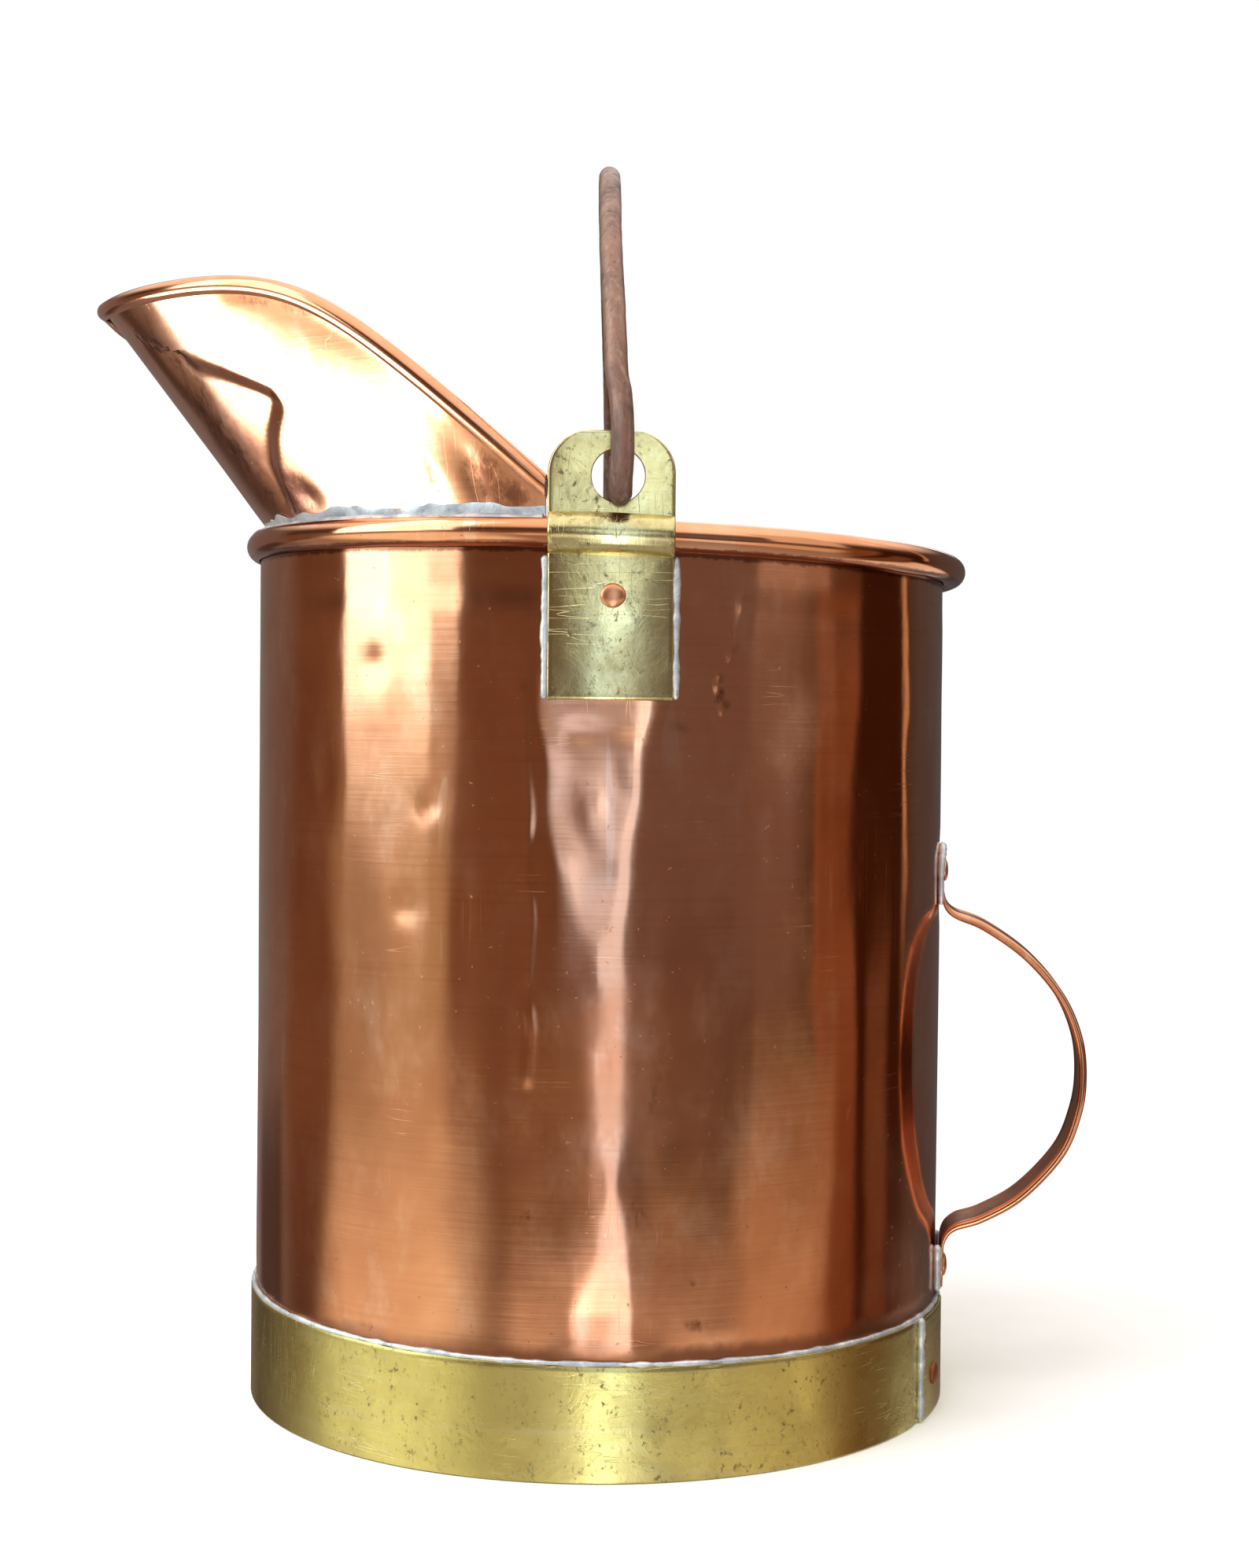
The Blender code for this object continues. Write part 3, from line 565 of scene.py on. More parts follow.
def make_body(material):
    """Lapped and hammered cylinder curled out at the top round the rim's wire."""
    heights = np.arange(WALL_TOP, WALL_COVERED, -WALL_STEP)
    covered = [WALL_COVERED, 20 * MM, BODY_BOTTOM + 0.4 * MM, BODY_BOTTOM]
    outer_heights = np.concatenate([heights, covered])
    inner_heights = np.linspace(BODY_BOTTOM, WALL_TOP, 64)
    rings = []
    insides = []
    darkening_rings = []
    bearings = body_bearings()
    roll_swell = [RIM_SWELL * value_noise(b / 9.0, 0.5, 7, 40) for b in bearings]
    for bearing, swell in zip(bearings, roll_swell):
        radius, height = rim_centre(bearing)
        curl = wired_edge(RIM_ROLL + swell, SHEET, BODY_RADIUS - SHEET - radius, 26, 8)
        seam = 1 - smooth_step(abs(bearing - sum(SEAM) / 2), 2.5, 2.5 + SEAM_RAMP)
        under_roll = height - RIM_ROLL - UNDER_ROLL_ROWS
        levels = np.concatenate([under_roll, outer_heights])
        column = np.full(levels.shape, bearing)
        proud = seam * SHEET * smooth_step(levels, SEAM_LOW - 2 * MM, SEAM_LOW)
        outer = BODY_RADIUS + wall_shift(column, levels) + proud
        column = np.full(inner_heights.shape, bearing)
        inner = BODY_RADIUS - SHEET + wall_shift(column, inner_heights)
        outline = list(zip(inner, inner_heights))
        outline += [(radius + across, height + up) for across, up in curl]
        outline += list(zip(outer, levels))
        rings.append([polar(r, bearing, z) for r, z in outline])
        insides.append([1.0] * len(inner) + [0.0] * (len(outline) - len(inner)))
        darkening = darkening_at(bearing, levels / MM, WALL_STAINS, DEGREE, MM)
        # Painted shade: the wall just under the rim's roll is darkened, besides the wall's tarnish
        # patches
        darkening = np.maximum(darkening, smooth_step(levels, under_roll[-1], under_roll[0]))
        # Painted shade on the underside of the rim's roll
        under = [float(smooth_step(-up / RIM_ROLL, 0.55, 0.85)) for _, up in curl]
        darkening_rings.append([0.0] * len(inner) + under + list(darkening))
    mesh = skin("copper_body", rings, looped=True)
    paint(mesh, "inside", insides)
    # The darkening attribute holds the wall's tarnish and the painted shade under the roll
    paint(mesh, "darkening", darkening_rings)
    place("copper_body", mesh, material, "bucket", "copper", "body_shell")


# ---- hood

def mouth_point(turn):
    """The hood's edge at a turn, in degrees, from the front: 0 is the tip of the spout."""
    x = -MOUTH_LENGTH * math.cos(math.radians(turn))
    y = MOUTH_HALF_WIDTH * math.sin(math.radians(turn))
    drop = MOUTH_SOFTNESS * math.log(1 + math.exp((x - MOUTH_KNEE) / MOUTH_SOFTNESS))
    lip = LIP_RISE * math.exp(-((y / LIP_WIDTH) ** 2))
    return Vector((x, y, MOUTH_HEIGHT + lip - MOUTH_SLOPE * drop))


def hood_frames(stations):
    """Share, foot, edge, upward and outward directions, course of the edge and bearing."""
    last_mouth = math.degrees(math.acos(HOOD_END / MOUTH_LENGTH))
    last_foot = math.degrees(math.acos(HOOD_END / (RIM_RADIUS - HOOD_FOOT_INSET)))
    frames = []
    for share in spread(-1.0, 1.0, stations):
        turn = last_mouth * share
        bearing = -90.0 - last_foot * share
        radius, height = rim_centre(bearing)
        foot = polar(radius - HOOD_FOOT_INSET, bearing, height + HOOD_FOOT_RISE)
        edge = mouth_point(turn)
        course = (mouth_point(turn + 0.5) - mouth_point(turn - 0.5)).normalized()
        along = polar(1.0, bearing + 90.0, 0.0)
        up = (edge - foot).normalized()
        outward = along.cross(up).normalized()
        frames.append((share, foot, edge, up, outward, course, bearing))
    return frames


def rolled_section(edge, up, outward, course, outline):
    """Carry an outline drawn square to the edge's course onto the hood's own section plane."""
    rise_axis = (up - course * up.dot(course)).normalized()
    out_axis = rise_axis.cross(course)
    if out_axis.dot(outward) < 0:
        out_axis = -out_axis
    plane = up.cross(outward)
    points = []
    for across, rise in outline:
        square = out_axis * across + rise_axis * rise
        points.append(edge + square - course * (square.dot(plane) / course.dot(plane)))
    return points


def fold_shift(share, part):
    """The hood's bent fold: the sheet drops sharply on the fold's front side and comes back slowly."""
    course = [Vector((along * HOOD_HALF_LENGTH, up * HOOD_SLANT)) for along, up in HOOD_FOLD]
    gap = line_gap(share * HOOD_HALF_LENGTH, part * HOOD_SLANT, course)
    return -FOLD_DEPTH * smooth_step(gap, -0.8 * MM, FOLD_WIDTH) * np.exp(
        -(np.maximum(gap, 0.0) / FOLD_FADE) ** 1.5)


def hood_shift(share, part):
    """How far the hood's sheet stands off its true funnel, at parts of its slant height."""
    shift = MM * sum(spots(share, part, HOOD_DENTS, HOOD_HALF_LENGTH, HOOD_SLANT))
    for depth, cells, rows, start, seed in HOOD_WAVES:
        shift += depth * MM * value_noise(np.full(part.shape, share * cells + start), part * rows, seed)
    shift += fold_shift(share, part)
    return shift * smooth_step(part, 0.0, 0.12) * (1 - smooth_step(part, 0.90, 0.98))


def make_hood(material):
    """Half funnel of sheet copper whose free edge is curled out round a wire."""
    curl = wired_edge(HOOD_ROLL, HOOD_SHEET, 0.0, 22, 6)
    parts = np.array(spread(0.0, 1.0, HOOD_ROWS)[:-1])
    rings = []
    insides = []
    darkening_rings = []
    for share, foot, edge, up, outward, course, _ in hood_frames(HOOD_STATIONS):
        middle = [foot + (edge - foot) * part + outward * shift
                  for part, shift in zip(parts.tolist(), hood_shift(share, parts).tolist())]
        inner = [point - outward * HOOD_SHEET / 2 for point in middle]
        outer = [point + outward * HOOD_SHEET / 2 for point in reversed(middle)]
        rolled = rolled_section(edge, up, outward, course, curl)
        rings.append([*inner, *rolled, *outer])
        insides.append([1.0] * len(inner) + [0.0] * (len(rolled) + len(outer)))
        # Painted shade on the hood's outer face
        darkening = darkening_at(share, parts[::-1], HOOD_SHADE, HOOD_HALF_LENGTH, HOOD_SLANT)
        darkening_rings.append([0.0] * (len(inner) + len(rolled)) + list(darkening))
    mesh = skin("pouring_hood", rings)
    paint(mesh, "inside", insides)
    paint(mesh, "darkening", darkening_rings)
    return place("pouring_hood", mesh, material, "bucket", "copper", "spout")


# ---- band

def band_top(x):
    return BAND_HEIGHT - BAND_FALL * x


def make_band(material):
    """Brass strip round the foot: its outer end steps over its inner end in a lap."""
    route = [(bearing, 1.0) for bearing in spread(LAP_EDGE, LAP_FLAT_END, 20)]
    route += [(bearing, 1.0 - smooth_step(bearing, LAP_FLAT_END, LAP_JOGGLE_END))
              for bearing in spread(LAP_FLAT_END + 0.25, LAP_JOGGLE_END, 7)]
    last_plain = 360.0 + LAP_INNER_START - 2.0
    route += [(bearing, 0.0) for bearing in spread(LAP_JOGGLE_END + 1.0, last_plain, 380)]
    route += [(360.0 + bearing, -1.0) for bearing in spread(LAP_INNER_START, LAP_INNER_END, 20)]
    rings = []
    edge = BAND_EDGE
    for bearing, layer in route:
        wave = BAND_WAVE * value_noise(bearing / 11.0, 0.5, 21)
        inner = BAND_INNER + layer * LAP_STEP + (wave if layer == 0.0 else 0.0)
        outer = inner + BAND_SHEET
        top = band_top(polar(outer, bearing, 0.0).x)
        top += BAND_TOP_WAVE * value_noise(bearing / 7.0, 0.5, 22)
        outline = [(inner, 0.0), (outer - edge, 0.0), (outer, edge)]
        for height in spread(edge, top - edge, 24)[1:-1]:
            dent = BAND_HAMMERING * value_noise(bearing / 6.0, height / (13 * MM), 23)
            outline.append((outer + dent, height))
        outline += [(outer, top - edge), (outer - edge * 0.3, top - edge * 0.3), (outer - edge, top)]
        outline += [(inner + edge, top), (inner, top - edge)]
        rings.append([polar(r, bearing, z) for r, z in outline])
    place("foot_band", skin("foot_band", rings), material, "bucket", "brass", "base_band")


# ---- ears

def ear_point(x, part, share, offset):
    """Height and distance out of a point of an ear's plate, at an offset from its mid-sheet.

    The plate hugs the wall, goes over the rim's roll, and then stands flat.
    """
    shell = EAR_SHEET / 2 + offset
    wall = math.sqrt((BODY_RADIUS + GAP + shell) ** 2 - x ** 2)
    roll_y = math.sqrt(RIM_RADIUS ** 2 - (x - RIM_SHIFT) ** 2)
    roll_z = RIM_HEIGHT - RIM_FALL * x
    radius = RIM_ROLL + GAP + shell
    flat = EAR_FLAT + shell
    low = -math.acos((wall - roll_y) / radius)
    high = math.acos((flat - roll_y) / radius)
    if part == "wall":
        end = roll_z + radius * math.sin(low)
        return wall, EAR_BOTTOM + (end - EAR_BOTTOM) * share
    if part == "roll":
        turn = low + (high - low) * share
        return roll_y + radius * math.cos(turn), roll_z + radius * math.sin(turn)
    start = roll_z + radius * math.sin(high)
    straight_end = EAR_TOP - EAR_CORNER
    if part == "flat":
        return flat, start + (straight_end - start) * share
    return flat, straight_end + EAR_CORNER * math.sin(share * math.pi / 2)


def ear_rows():
    """(part, share along it, half width, half thickness) of each row, from bottom to top."""
    full = EAR_SHEET / 2
    wall_height = EAR_TOP - EAR_BOTTOM
    rows = []
    for cut in (0.0, 0.15, 0.4, 0.7):
        thin = full * math.sqrt(max(0.09, 1 - (1 - cut) ** 2))
        rows.append(("wall", cut * EAR_EDGE / (0.55 * wall_height), EAR_HALF_WIDTH, thin))
    for part, low, high, steps in (("wall", 0.03, 1.0, 26), ("roll", 0.04, 0.96, 16),
                                   ("flat", 0.0, 1.0, 8)):
        rows += [(part, share, EAR_HALF_WIDTH, full) for share in spread(low, high, steps)]
    for share in spread(0.05, 0.97, 16):
        wide = EAR_HALF_WIDTH - EAR_CORNER + EAR_CORNER * math.cos(share * math.pi / 2)
        to_top = EAR_CORNER * (1 - math.sin(share * math.pi / 2))
        thin = full * math.sqrt(max(0.09, 1 - max(0.0, 1 - to_top / EAR_EDGE) ** 2))
        rows.append(("corner", share, wide, thin))
    rows.append(("corner", 1.0, EAR_HALF_WIDTH - EAR_CORNER, full * 0.3))
    return rows


def ear_ring(part, share, wide, thin, side, seed):
    """Loop round the plate at one row: outer face, rounded edge, inner face, rounded edge."""
    steps = 32
    flat_wide = wide - EAR_EDGE
    outer = [(x, thin) for x in spread(-flat_wide, flat_wide, steps)]
    rounded = [(flat_wide + EAR_EDGE * math.cos(t), thin * math.sin(t))
               for t in spread(math.pi / 2, -math.pi / 2, 6)[1:-1]]
    inner = [(x, -thin) for x in spread(flat_wide, -flat_wide, steps)]
    left = [(-x, -offset) for x, offset in rounded]
    ring = []
    for x, offset in [*outer, *rounded, *inner, *left]:
        world_x = EAR_CENTRE + x
        y, z = ear_point(world_x, part, share, offset)
        if offset > 0:
            y += EAR_HAMMERING * value_noise(world_x / (6 * MM), z / (8 * MM), seed)
        ring.append(Vector((world_x, side * y, z)))
    return ring


def cut_bail_hole(ear, side):
    """Cut the bail's hole, a little worn open at both faces, and apply the cut."""
    middle = EAR_FLAT + EAR_SHEET / 2
    rings = []
    for along, wear in HOLE_PROFILE:
        radius = EAR_HOLE_RADIUS + wear * MM
        rings.append([(EAR_HOLE[0] + radius * math.cos(t), side * (middle + along * MM),
                       EAR_HOLE[1] + radius * math.sin(t))
                      for t in spread(0.0, 2 * math.pi, 56)[:-1]])
    cutter = new_object("hole_cutter", skin("hole_cutter", rings))
    cut = ear.modifiers.new("hole", "BOOLEAN")
    cut.operation = "DIFFERENCE"
    cut.solver = "EXACT"
    cut.object = cutter
    graph = bpy.context.evaluated_depsgraph_get()
    mesh = bpy.data.meshes.new_from_object(ear.evaluated_get(graph))
    ear.modifiers.clear()
    ear.data = mesh
    mesh.set_sharp_from_angle(angle=math.radians(35.0))
    bpy.data.objects.remove(cutter)


def make_ears(material):
    for name, side, seed in (("left", -1, 31), ("right", 1, 32)):
        rings = [ear_ring(*row, side, seed) for row in ear_rows()]
        mesh = skin(f"brass_ear_{name}", rings)
        ear = place(f"brass_ear_{name}", mesh, material, "bucket", "brass", f"ear_{name}")
        cut_bail_hole(ear, side)


# ---- rivets

def make_rivet(name, axis, surface, back, middle, material, node):
    """Hand-set rivet along an axis: a dome outside, and a peened head inside unless back is None."""
    seat = surface + GAP * 0.5
    quarter = math.pi / 2
    profile = [(RIVET_HEAD * math.sin(turn), seat + RIVET_DOME * math.cos(turn) ** 0.8)
               for turn in spread(0.06 * quarter, quarter, 9)]
    profile += [(RIVET_HEAD * 0.97, seat - 0.25 * MM), (RIVET_SHANK, seat - 0.3 * MM)]
    if back is None:
        profile.append((RIVET_SHANK, surface - 2 * BAND_SHEET))
    else:
        profile.append((RIVET_SHANK, back))
        profile += [(RIVET_TAIL * math.sin(turn), back - RIVET_TAIL_DEPTH * math.cos(turn))
                    for turn in spread(quarter, 0.1 * quarter, 5)]
    across = axis.cross(Vector((0, 0, 1))).normalized()
    other = across.cross(axis)
    turns = spread(0.0, 2 * math.pi, 28)[:-1]
    seed = sum(ord(letter) for letter in name)
    hammered = line_noise(len(turns) // 2, 3, seed)
    hammered = np.concatenate([hammered, hammered[::-1]]) * 0.06
    rings = [circle(middle + axis * distance, across, other, radius * (1 + hammered), turns)
             for radius, distance in profile]
    place(name, skin(name, rings), material, "bucket", "copper", node)


def make_rivets(material):
    wall_inside = BODY_RADIUS - SHEET
    for name, side in (("left", -1), ("right", 1)):
        axis = Vector((0, side, 0))
        x, z = EAR_RIVET
        rise = math.sqrt(BODY_RADIUS ** 2 - x ** 2)
        make_rivet(f"dome_ear_{name}", axis, rise + GAP + EAR_SHEET, wall_inside,
                   Vector((x, 0, z)), material, f"ear_rivet_{name}")
    back = polar(1.0, STRAP_BEARING, 0.0)
    for node, height, surface in STRAP_RIVETS:
        make_rivet(node.replace("handle_rivet", "dome_handle"), back, surface, wall_inside,
                   Vector((0, 0, height)), material, node)
    bearing, height = BAND_RIVET
    make_rivet("dome_band", polar(1.0, bearing, 0.0), BAND_INNER + LAP_STEP + BAND_SHEET, None,
               Vector((0, 0, height)), material, "band_rivet")


# ---- bail and handle

def bow_point(turn):
    """A point of the bow, turned in degrees up from the -Y side round the bow's centre."""
    turn = math.radians(turn)
    y = -BOW_RADIUS * math.cos(turn)
    rise = BOW_RADIUS * math.sin(turn)
    if y > 0:
        x = min(PIVOT_X, BOW_X + BOW_FAR_BEND * (y / BOW_RADIUS) ** 2)
    else:
        above_leg = rise - BOW_RADIUS * math.sin(math.radians(BOW_FIRST_ANGLE))
        x = BOW_X + BOW_NEAR_BEND * max(0.0, 1.0 - above_leg / BOW_NEAR_FADE)
    return Vector((x, y, BOW_TOP - BOW_RADIUS + rise))


def make_bail(material):
    """Rusted round rod, hooked inwards through the ears at both ends."""
    bow = [bow_point(turn) for turn in spread(BOW_FIRST_ANGLE, 180.0 - BOW_FIRST_ANGLE, 20)]
    near = [Vector((x * MM, -y * MM, z * MM)) for x, y, z in HOOK]
    far = [Vector((PIVOT_X, y * MM, z * MM)) for _, y, z in HOOK]
    path = smooth_path(near + bow + far[::-1], 7)
    sides = 30
    rows = np.arange(len(path))[:, None] / 2.4
    turns = np.arange(sides)[None, :] / 3.0
    turns, rows = np.broadcast_arrays(turns, rows)
    rust = np.zeros(rows.shape)
    for depth, across, along, seed in RUST_WAVES:
        rust += depth * MM * value_noise(turns * across, rows * along, seed, sides // 3 * across)
    ends = np.minimum(np.arange(len(path)), np.arange(len(path))[::-1]) / 3.0
    taper = np.sqrt(np.clip(1 - (1 - np.clip(ends + 0.25, 0.0, 1.0)) ** 2, 0.05, 1.0))[:, None]
    radii = (BAIL_ROD + rust - 0.05 * MM) * taper
    mesh = skin("bail_rod", rod_rings(path, radii, sides, Vector((1, 0, 0))))
    place("bail_rod", mesh, material, "bail", "iron", "bail")


def strap_section(to_end):
    """Outline of the strap: rounded, folded edges and a thinner web in the loop."""
    tip = STRAP_TIP_WIDTH + (1 - STRAP_TIP_WIDTH) * math.sqrt(min(1.0, to_end / STRAP_TIP))
    swell = min(max((to_end - TAIL_LENGTH) / TAIL_TAPER, 0.0), 1.0)
    wide = STRAP_WIDTH / 2 * tip
    thin = (TAIL_SHEET + (LOOP_SHEET - TAIL_SHEET) * swell) / 2
    web = thin * (1.0 - 0.30 * swell)
    centre = wide - thin
    flat = [(x, web) for x in spread(-(centre - thin), centre - thin, 8)]
    lip = [(centre + thin * math.cos(t), thin * math.sin(t))
           for t in spread(math.radians(115.0), -math.radians(115.0), 12)]
    half = flat + lip
    return half + [(-across, -through) for across, through in half]


def make_strap(material):
    """Bent strap: clipped tails on the wall and a D-shaped loop for the hand."""
    outward = polar(1.0, STRAP_BEARING, 0.0)
    across = polar(1.0, STRAP_BEARING + 90.0, 0.0)
    path = smooth_path([outward * (away * MM) + Vector((0, 0, z * MM)) for away, z in STRAP], 9)
    lengths = [0.0]
    for before, point in zip(path, path[1:]):
        lengths.append(lengths[-1] + (point - before).length)
    last = len(path) - 1
    wobble = STRAP_WAVER * line_noise(len(path), 7, 51)
    rings = []
    insides = []
    for index, point in enumerate(path):
        tangent = path[min(index + 1, last)] - path[max(index - 1, 0)]
        through = tangent.cross(across).normalized()
        to_end = min(lengths[index], lengths[-1] - lengths[index])
        section = strap_section(to_end)
        shift = wobble[index] * smooth_step(to_end, TAIL_LENGTH, 3 * TAIL_LENGTH)
        rings.append([point + across * float(wide + shift) + through * thin for wide, thin in section])
        # Painted shade: the strap's inner face is marked as inside, so the copper material darkens it
        # like the soot in the bucket
        insides.append([float(thin < -0.2 * MM and abs(wide) < 0.42 * STRAP_WIDTH)
                        for wide, thin in section])
    mesh = skin("strap_handle", rings)
    paint(mesh, "inside", insides)
    place("strap_handle", mesh, material, "bucket", "copper", "back_handle")


# ---- solder

def bead(name, path, radius, seed, material, nodes, looped=False, reference=Vector((0, 0, 1))):
    """A lumpy run of soft solder along a path."""
    sides = 12
    count = len(path)
    cells = max(2, round(sum((b - a).length for a, b in zip(path, path[1:])) / (5 * MM)))
    along = np.linspace(0, cells, count, endpoint=not looped)
    lump = value_noise(along, np.zeros(count), seed, cells)
    fine = value_noise(along * 3, np.zeros(count), seed + 1, cells * 3)
    radii = radius * (1 + 0.28 * lump + 0.12 * fine)
    if not looped:
        radii[0] *= 0.5
        radii[-1] *= 0.5
    mesh = skin(name, rod_rings(path, radii, sides, reference, looped), looped)
    place(name, mesh, material, "bucket", "solder", *nodes)


def make_band_solder(material):
    """Bead in the corner between the band's top edge and the wall."""
    radius = BODY_RADIUS + 0.7 * MM
    path = []
    for bearing in spread(0.0, 360.0, 360)[:-1]:
        x = polar(radius, bearing, 0.0).x
        path.append(polar(radius, bearing, band_top(x) + 0.5 * MM))
    bead("bead_band", path, 1.0 * MM, 61, material, ["solder_band"], looped=True)


def roll_point(bearing, reach, turn):
    """A point at a distance from the rim roll's centre line, turned outwards from straight up."""
    radius, height = rim_centre(bearing)
    turn = math.radians(turn)
    return polar(radius + reach * math.sin(turn), bearing, height + reach * math.cos(turn))


def make_hood_solder(material):
    """Fillet between the rim's roll and the foot of the hood, with a ragged upper edge."""
    frames = hood_frames(HOOD_STATIONS)
    crests = 5.6 + 1.1 * line_noise(len(frames), 34, 62) + 0.5 * line_noise(len(frames), 90, 63)
    lumps = 0.35 * MM * (1 + line_noise(len(frames), 60, 64))
    top, low = SEAT_TURNS
    rings = []
    for (_, foot, _, up, outward, _, bearing), rise, thick in zip(
            frames, crests.tolist(), lumps.tolist()):
        seat = []
        for turn in spread(top, low, 7):
            swell = thick * math.sin(math.pi * (top - turn) / (top - low))
            seat.append(roll_point(bearing, RIM_ROLL + GAP * 0.5 + swell, turn))
        surface = foot + outward * (HOOD_SHEET / 2)
        crest = surface + up * (rise * MM)
        wall = [surface + up * (rise * MM * part) + outward * (thick * (1.25 - part) + 0.1 * MM)
                for part in (0.35, 0.6, 0.85)]
        back = [crest - outward * 0.4 * MM, surface - outward * 0.4 * MM]
        floor = [roll_point(bearing, RIM_ROLL - 0.8 * MM, turn) for turn in (-10.0, 30.0)]
        rings.append([*seat, *wall, crest, *back, *floor])
    place("bead_hood", skin("bead_hood", rings), material, "bucket", "solder", "solder_spout")


def upright_bead(name, foot, low, high, steps, thick, seed, reference, material):
    """A straight bead over a point, between two heights in millimetres."""
    path = [Vector((foot.x, foot.y, z * MM)) for z in spread(low, high, steps)]
    bead(f"bead_{name}", path, thick * MM, seed, material, [f"solder_{name}"], reference=reference)


def make_ear_solder(material):
    """Beads down both upright edges of each ear's lower plate."""
    radius = BODY_RADIUS + 0.9 * MM
    for side_name, side in (("left", -1), ("right", 1)):
        for edge_name, edge in (("front", -1), ("back", 1)):
            x = EAR_CENTRE + edge * (EAR_HALF_WIDTH + 0.7 * MM)
            foot = Vector((x, side * math.sqrt(radius ** 2 - x ** 2), 0))
            upright_bead(f"ear_{side_name}_{edge_name}", foot, 260, 307, 50, 1.25, 65 + side + edge,
                         Vector((0, 1, 0)), material)


def make_strap_solder(material):
    """A bead round the upper tail's tip, and one beside each edge of the lower tail."""
    radius = BODY_RADIUS + 1.2 * MM
    half = math.degrees(math.asin((STRAP_WIDTH / 2 + 1.6 * MM) / radius))
    shape = ((1.0, 186), (1.0, 200), (0.7, 205), (0.0, 208))
    shape += tuple((-side, z) for side, z in shape[-2::-1])
    path = smooth_path([polar(radius, STRAP_BEARING + half * side, z * MM) for side, z in shape], 8)
    outward = polar(1.0, STRAP_BEARING, 0.0)
    bead("bead_handle_top", path, 1.3 * MM, 71, material, ["solder_handle_top"], reference=outward)
    for name, side in (("near", -1), ("far", 1)):
        foot = polar(radius, STRAP_BEARING + side * half, 0.0)
        upright_bead(f"handle_{name}", foot, 41, 58, 18, 1.4, 73 + side, outward, material)


def make_lap_solder(material):
    """Upright bead along the band's lap edge."""
    foot = polar(BAND_INNER + BAND_SHEET + 0.2 * MM, LAP_EDGE - 0.25, 0.0)
    upright_bead("lap", foot, 1, 38, 40, 1.35, 77, Vector((1, 0, 0)), material)


# ---- materials

class Nodes:
    """Adds linked nodes to the tree of a material or of the world."""

    def __init__(self, tree):
        self.tree = tree

    def add(self, kind, inputs=None, **settings):
        node = self.tree.nodes.new(kind)
        for name, value in settings.items():
            setattr(node, name, value)
        for key, value in (inputs or {}).items():
            self.feed(node.inputs[key], value)
        return node

    def feed(self, socket, value):
        if isinstance(value, bpy.types.NodeSocket):
            self.tree.links.new(value, socket)
        elif isinstance(value, tuple) and len(value) == 3 and len(socket.default_value) == 4:
            socket.default_value = (*value, 1.0)
        else:
            socket.default_value = value

    def math(self, operation, *values):
        return self.add("ShaderNodeMath", dict(enumerate(values)), operation=operation).outputs[0]

    def plus(self, value, more, share):
        """value + more * share"""
        return self.math("MULTIPLY_ADD", more, share, value)

    def position(self):
        return self.add("ShaderNodeTexCoord").outputs["Object"]

    def noise(self, scale, detail=2, rough=0.5, distortion=0.0, turn=(0, 0, 0)):
        """Noise between 0 and 1, with as many cells for each metre along each axis as scale says."""
        turn = tuple(math.radians(angle) for angle in turn)
        inputs = {"Vector": self.position(), "Scale": scale, "Rotation": turn}
        stretched = self.add("ShaderNodeMapping", inputs).outputs[0]
        inputs = {"Vector": stretched, "Scale": 1.0, "Detail": detail, "Roughness": rough,
                  "Distortion": distortion}
        return self.add("ShaderNodeTexNoise", inputs).outputs["Fac"]

    def between(self, value, low, high, start=0.0, end=1.0):
        """Smooth change from start to end as a value goes from low to high."""
        inputs = {"Value": value, "From Min": low, "From Max": high, "To Min": start, "To Max": end}
        return self.add("ShaderNodeMapRange", inputs, interpolation_type="SMOOTHSTEP").outputs[0]

    def mix(self, share, first, second):
        inputs = {0: share, 6: first, 7: second}
        return self.add("ShaderNodeMix", inputs, data_type="RGBA", clamp_factor=True).outputs[2]

    def coat(self, colour, coats):
        """Lay (mask, strength, colour) coats over a colour, one after another."""
        for mask, strength, over in coats:
            colour = self.mix(self.math("MULTIPLY", mask, strength), colour, over)
        return colour

    def attribute(self, name):
        return self.add("ShaderNodeAttribute", attribute_name=name).outputs["Fac"]

    def scratches(self, scale, turn, keep):
        """Thin, scattered lines: where stretched noise crosses its middle, in some places only."""
        line = self.math("ABSOLUTE", self.math("SUBTRACT", self.noise(scale, 1, 0.5, 0.3, turn), 0.5))
        thin = self.between(line, 0.0, SCRATCH_WIDTH, 1.0, 0.0)
        scatter = self.noise((15 + scale[2] / 20,) * 3, 3, 0.6, turn=turn)
        return self.math("MULTIPLY", thin, self.between(scatter, keep, keep + SCRATCH_FADE))

    def bump(self, height, depth, normal=None):
        inputs = {"Height": height, "Distance": depth, "Strength": 1.0}
        if normal is not None:
            inputs["Normal"] = normal
        return self.add("ShaderNodeBump", inputs).outputs[0]


def new_material(name, metallic):
    material = bpy.data.materials.new(name)
    material.use_nodes = True
    shader = material.node_tree.nodes["Principled BSDF"]
    shader.inputs["Metallic"].default_value = metallic
    return material, Nodes(material.node_tree), shader


def connect(nodes, shader, colour, rough, normal):
    nodes.feed(shader.inputs["Base Color"], colour)
    nodes.feed(shader.inputs["Roughness"], rough)
    nodes.feed(shader.inputs["Normal"], normal)


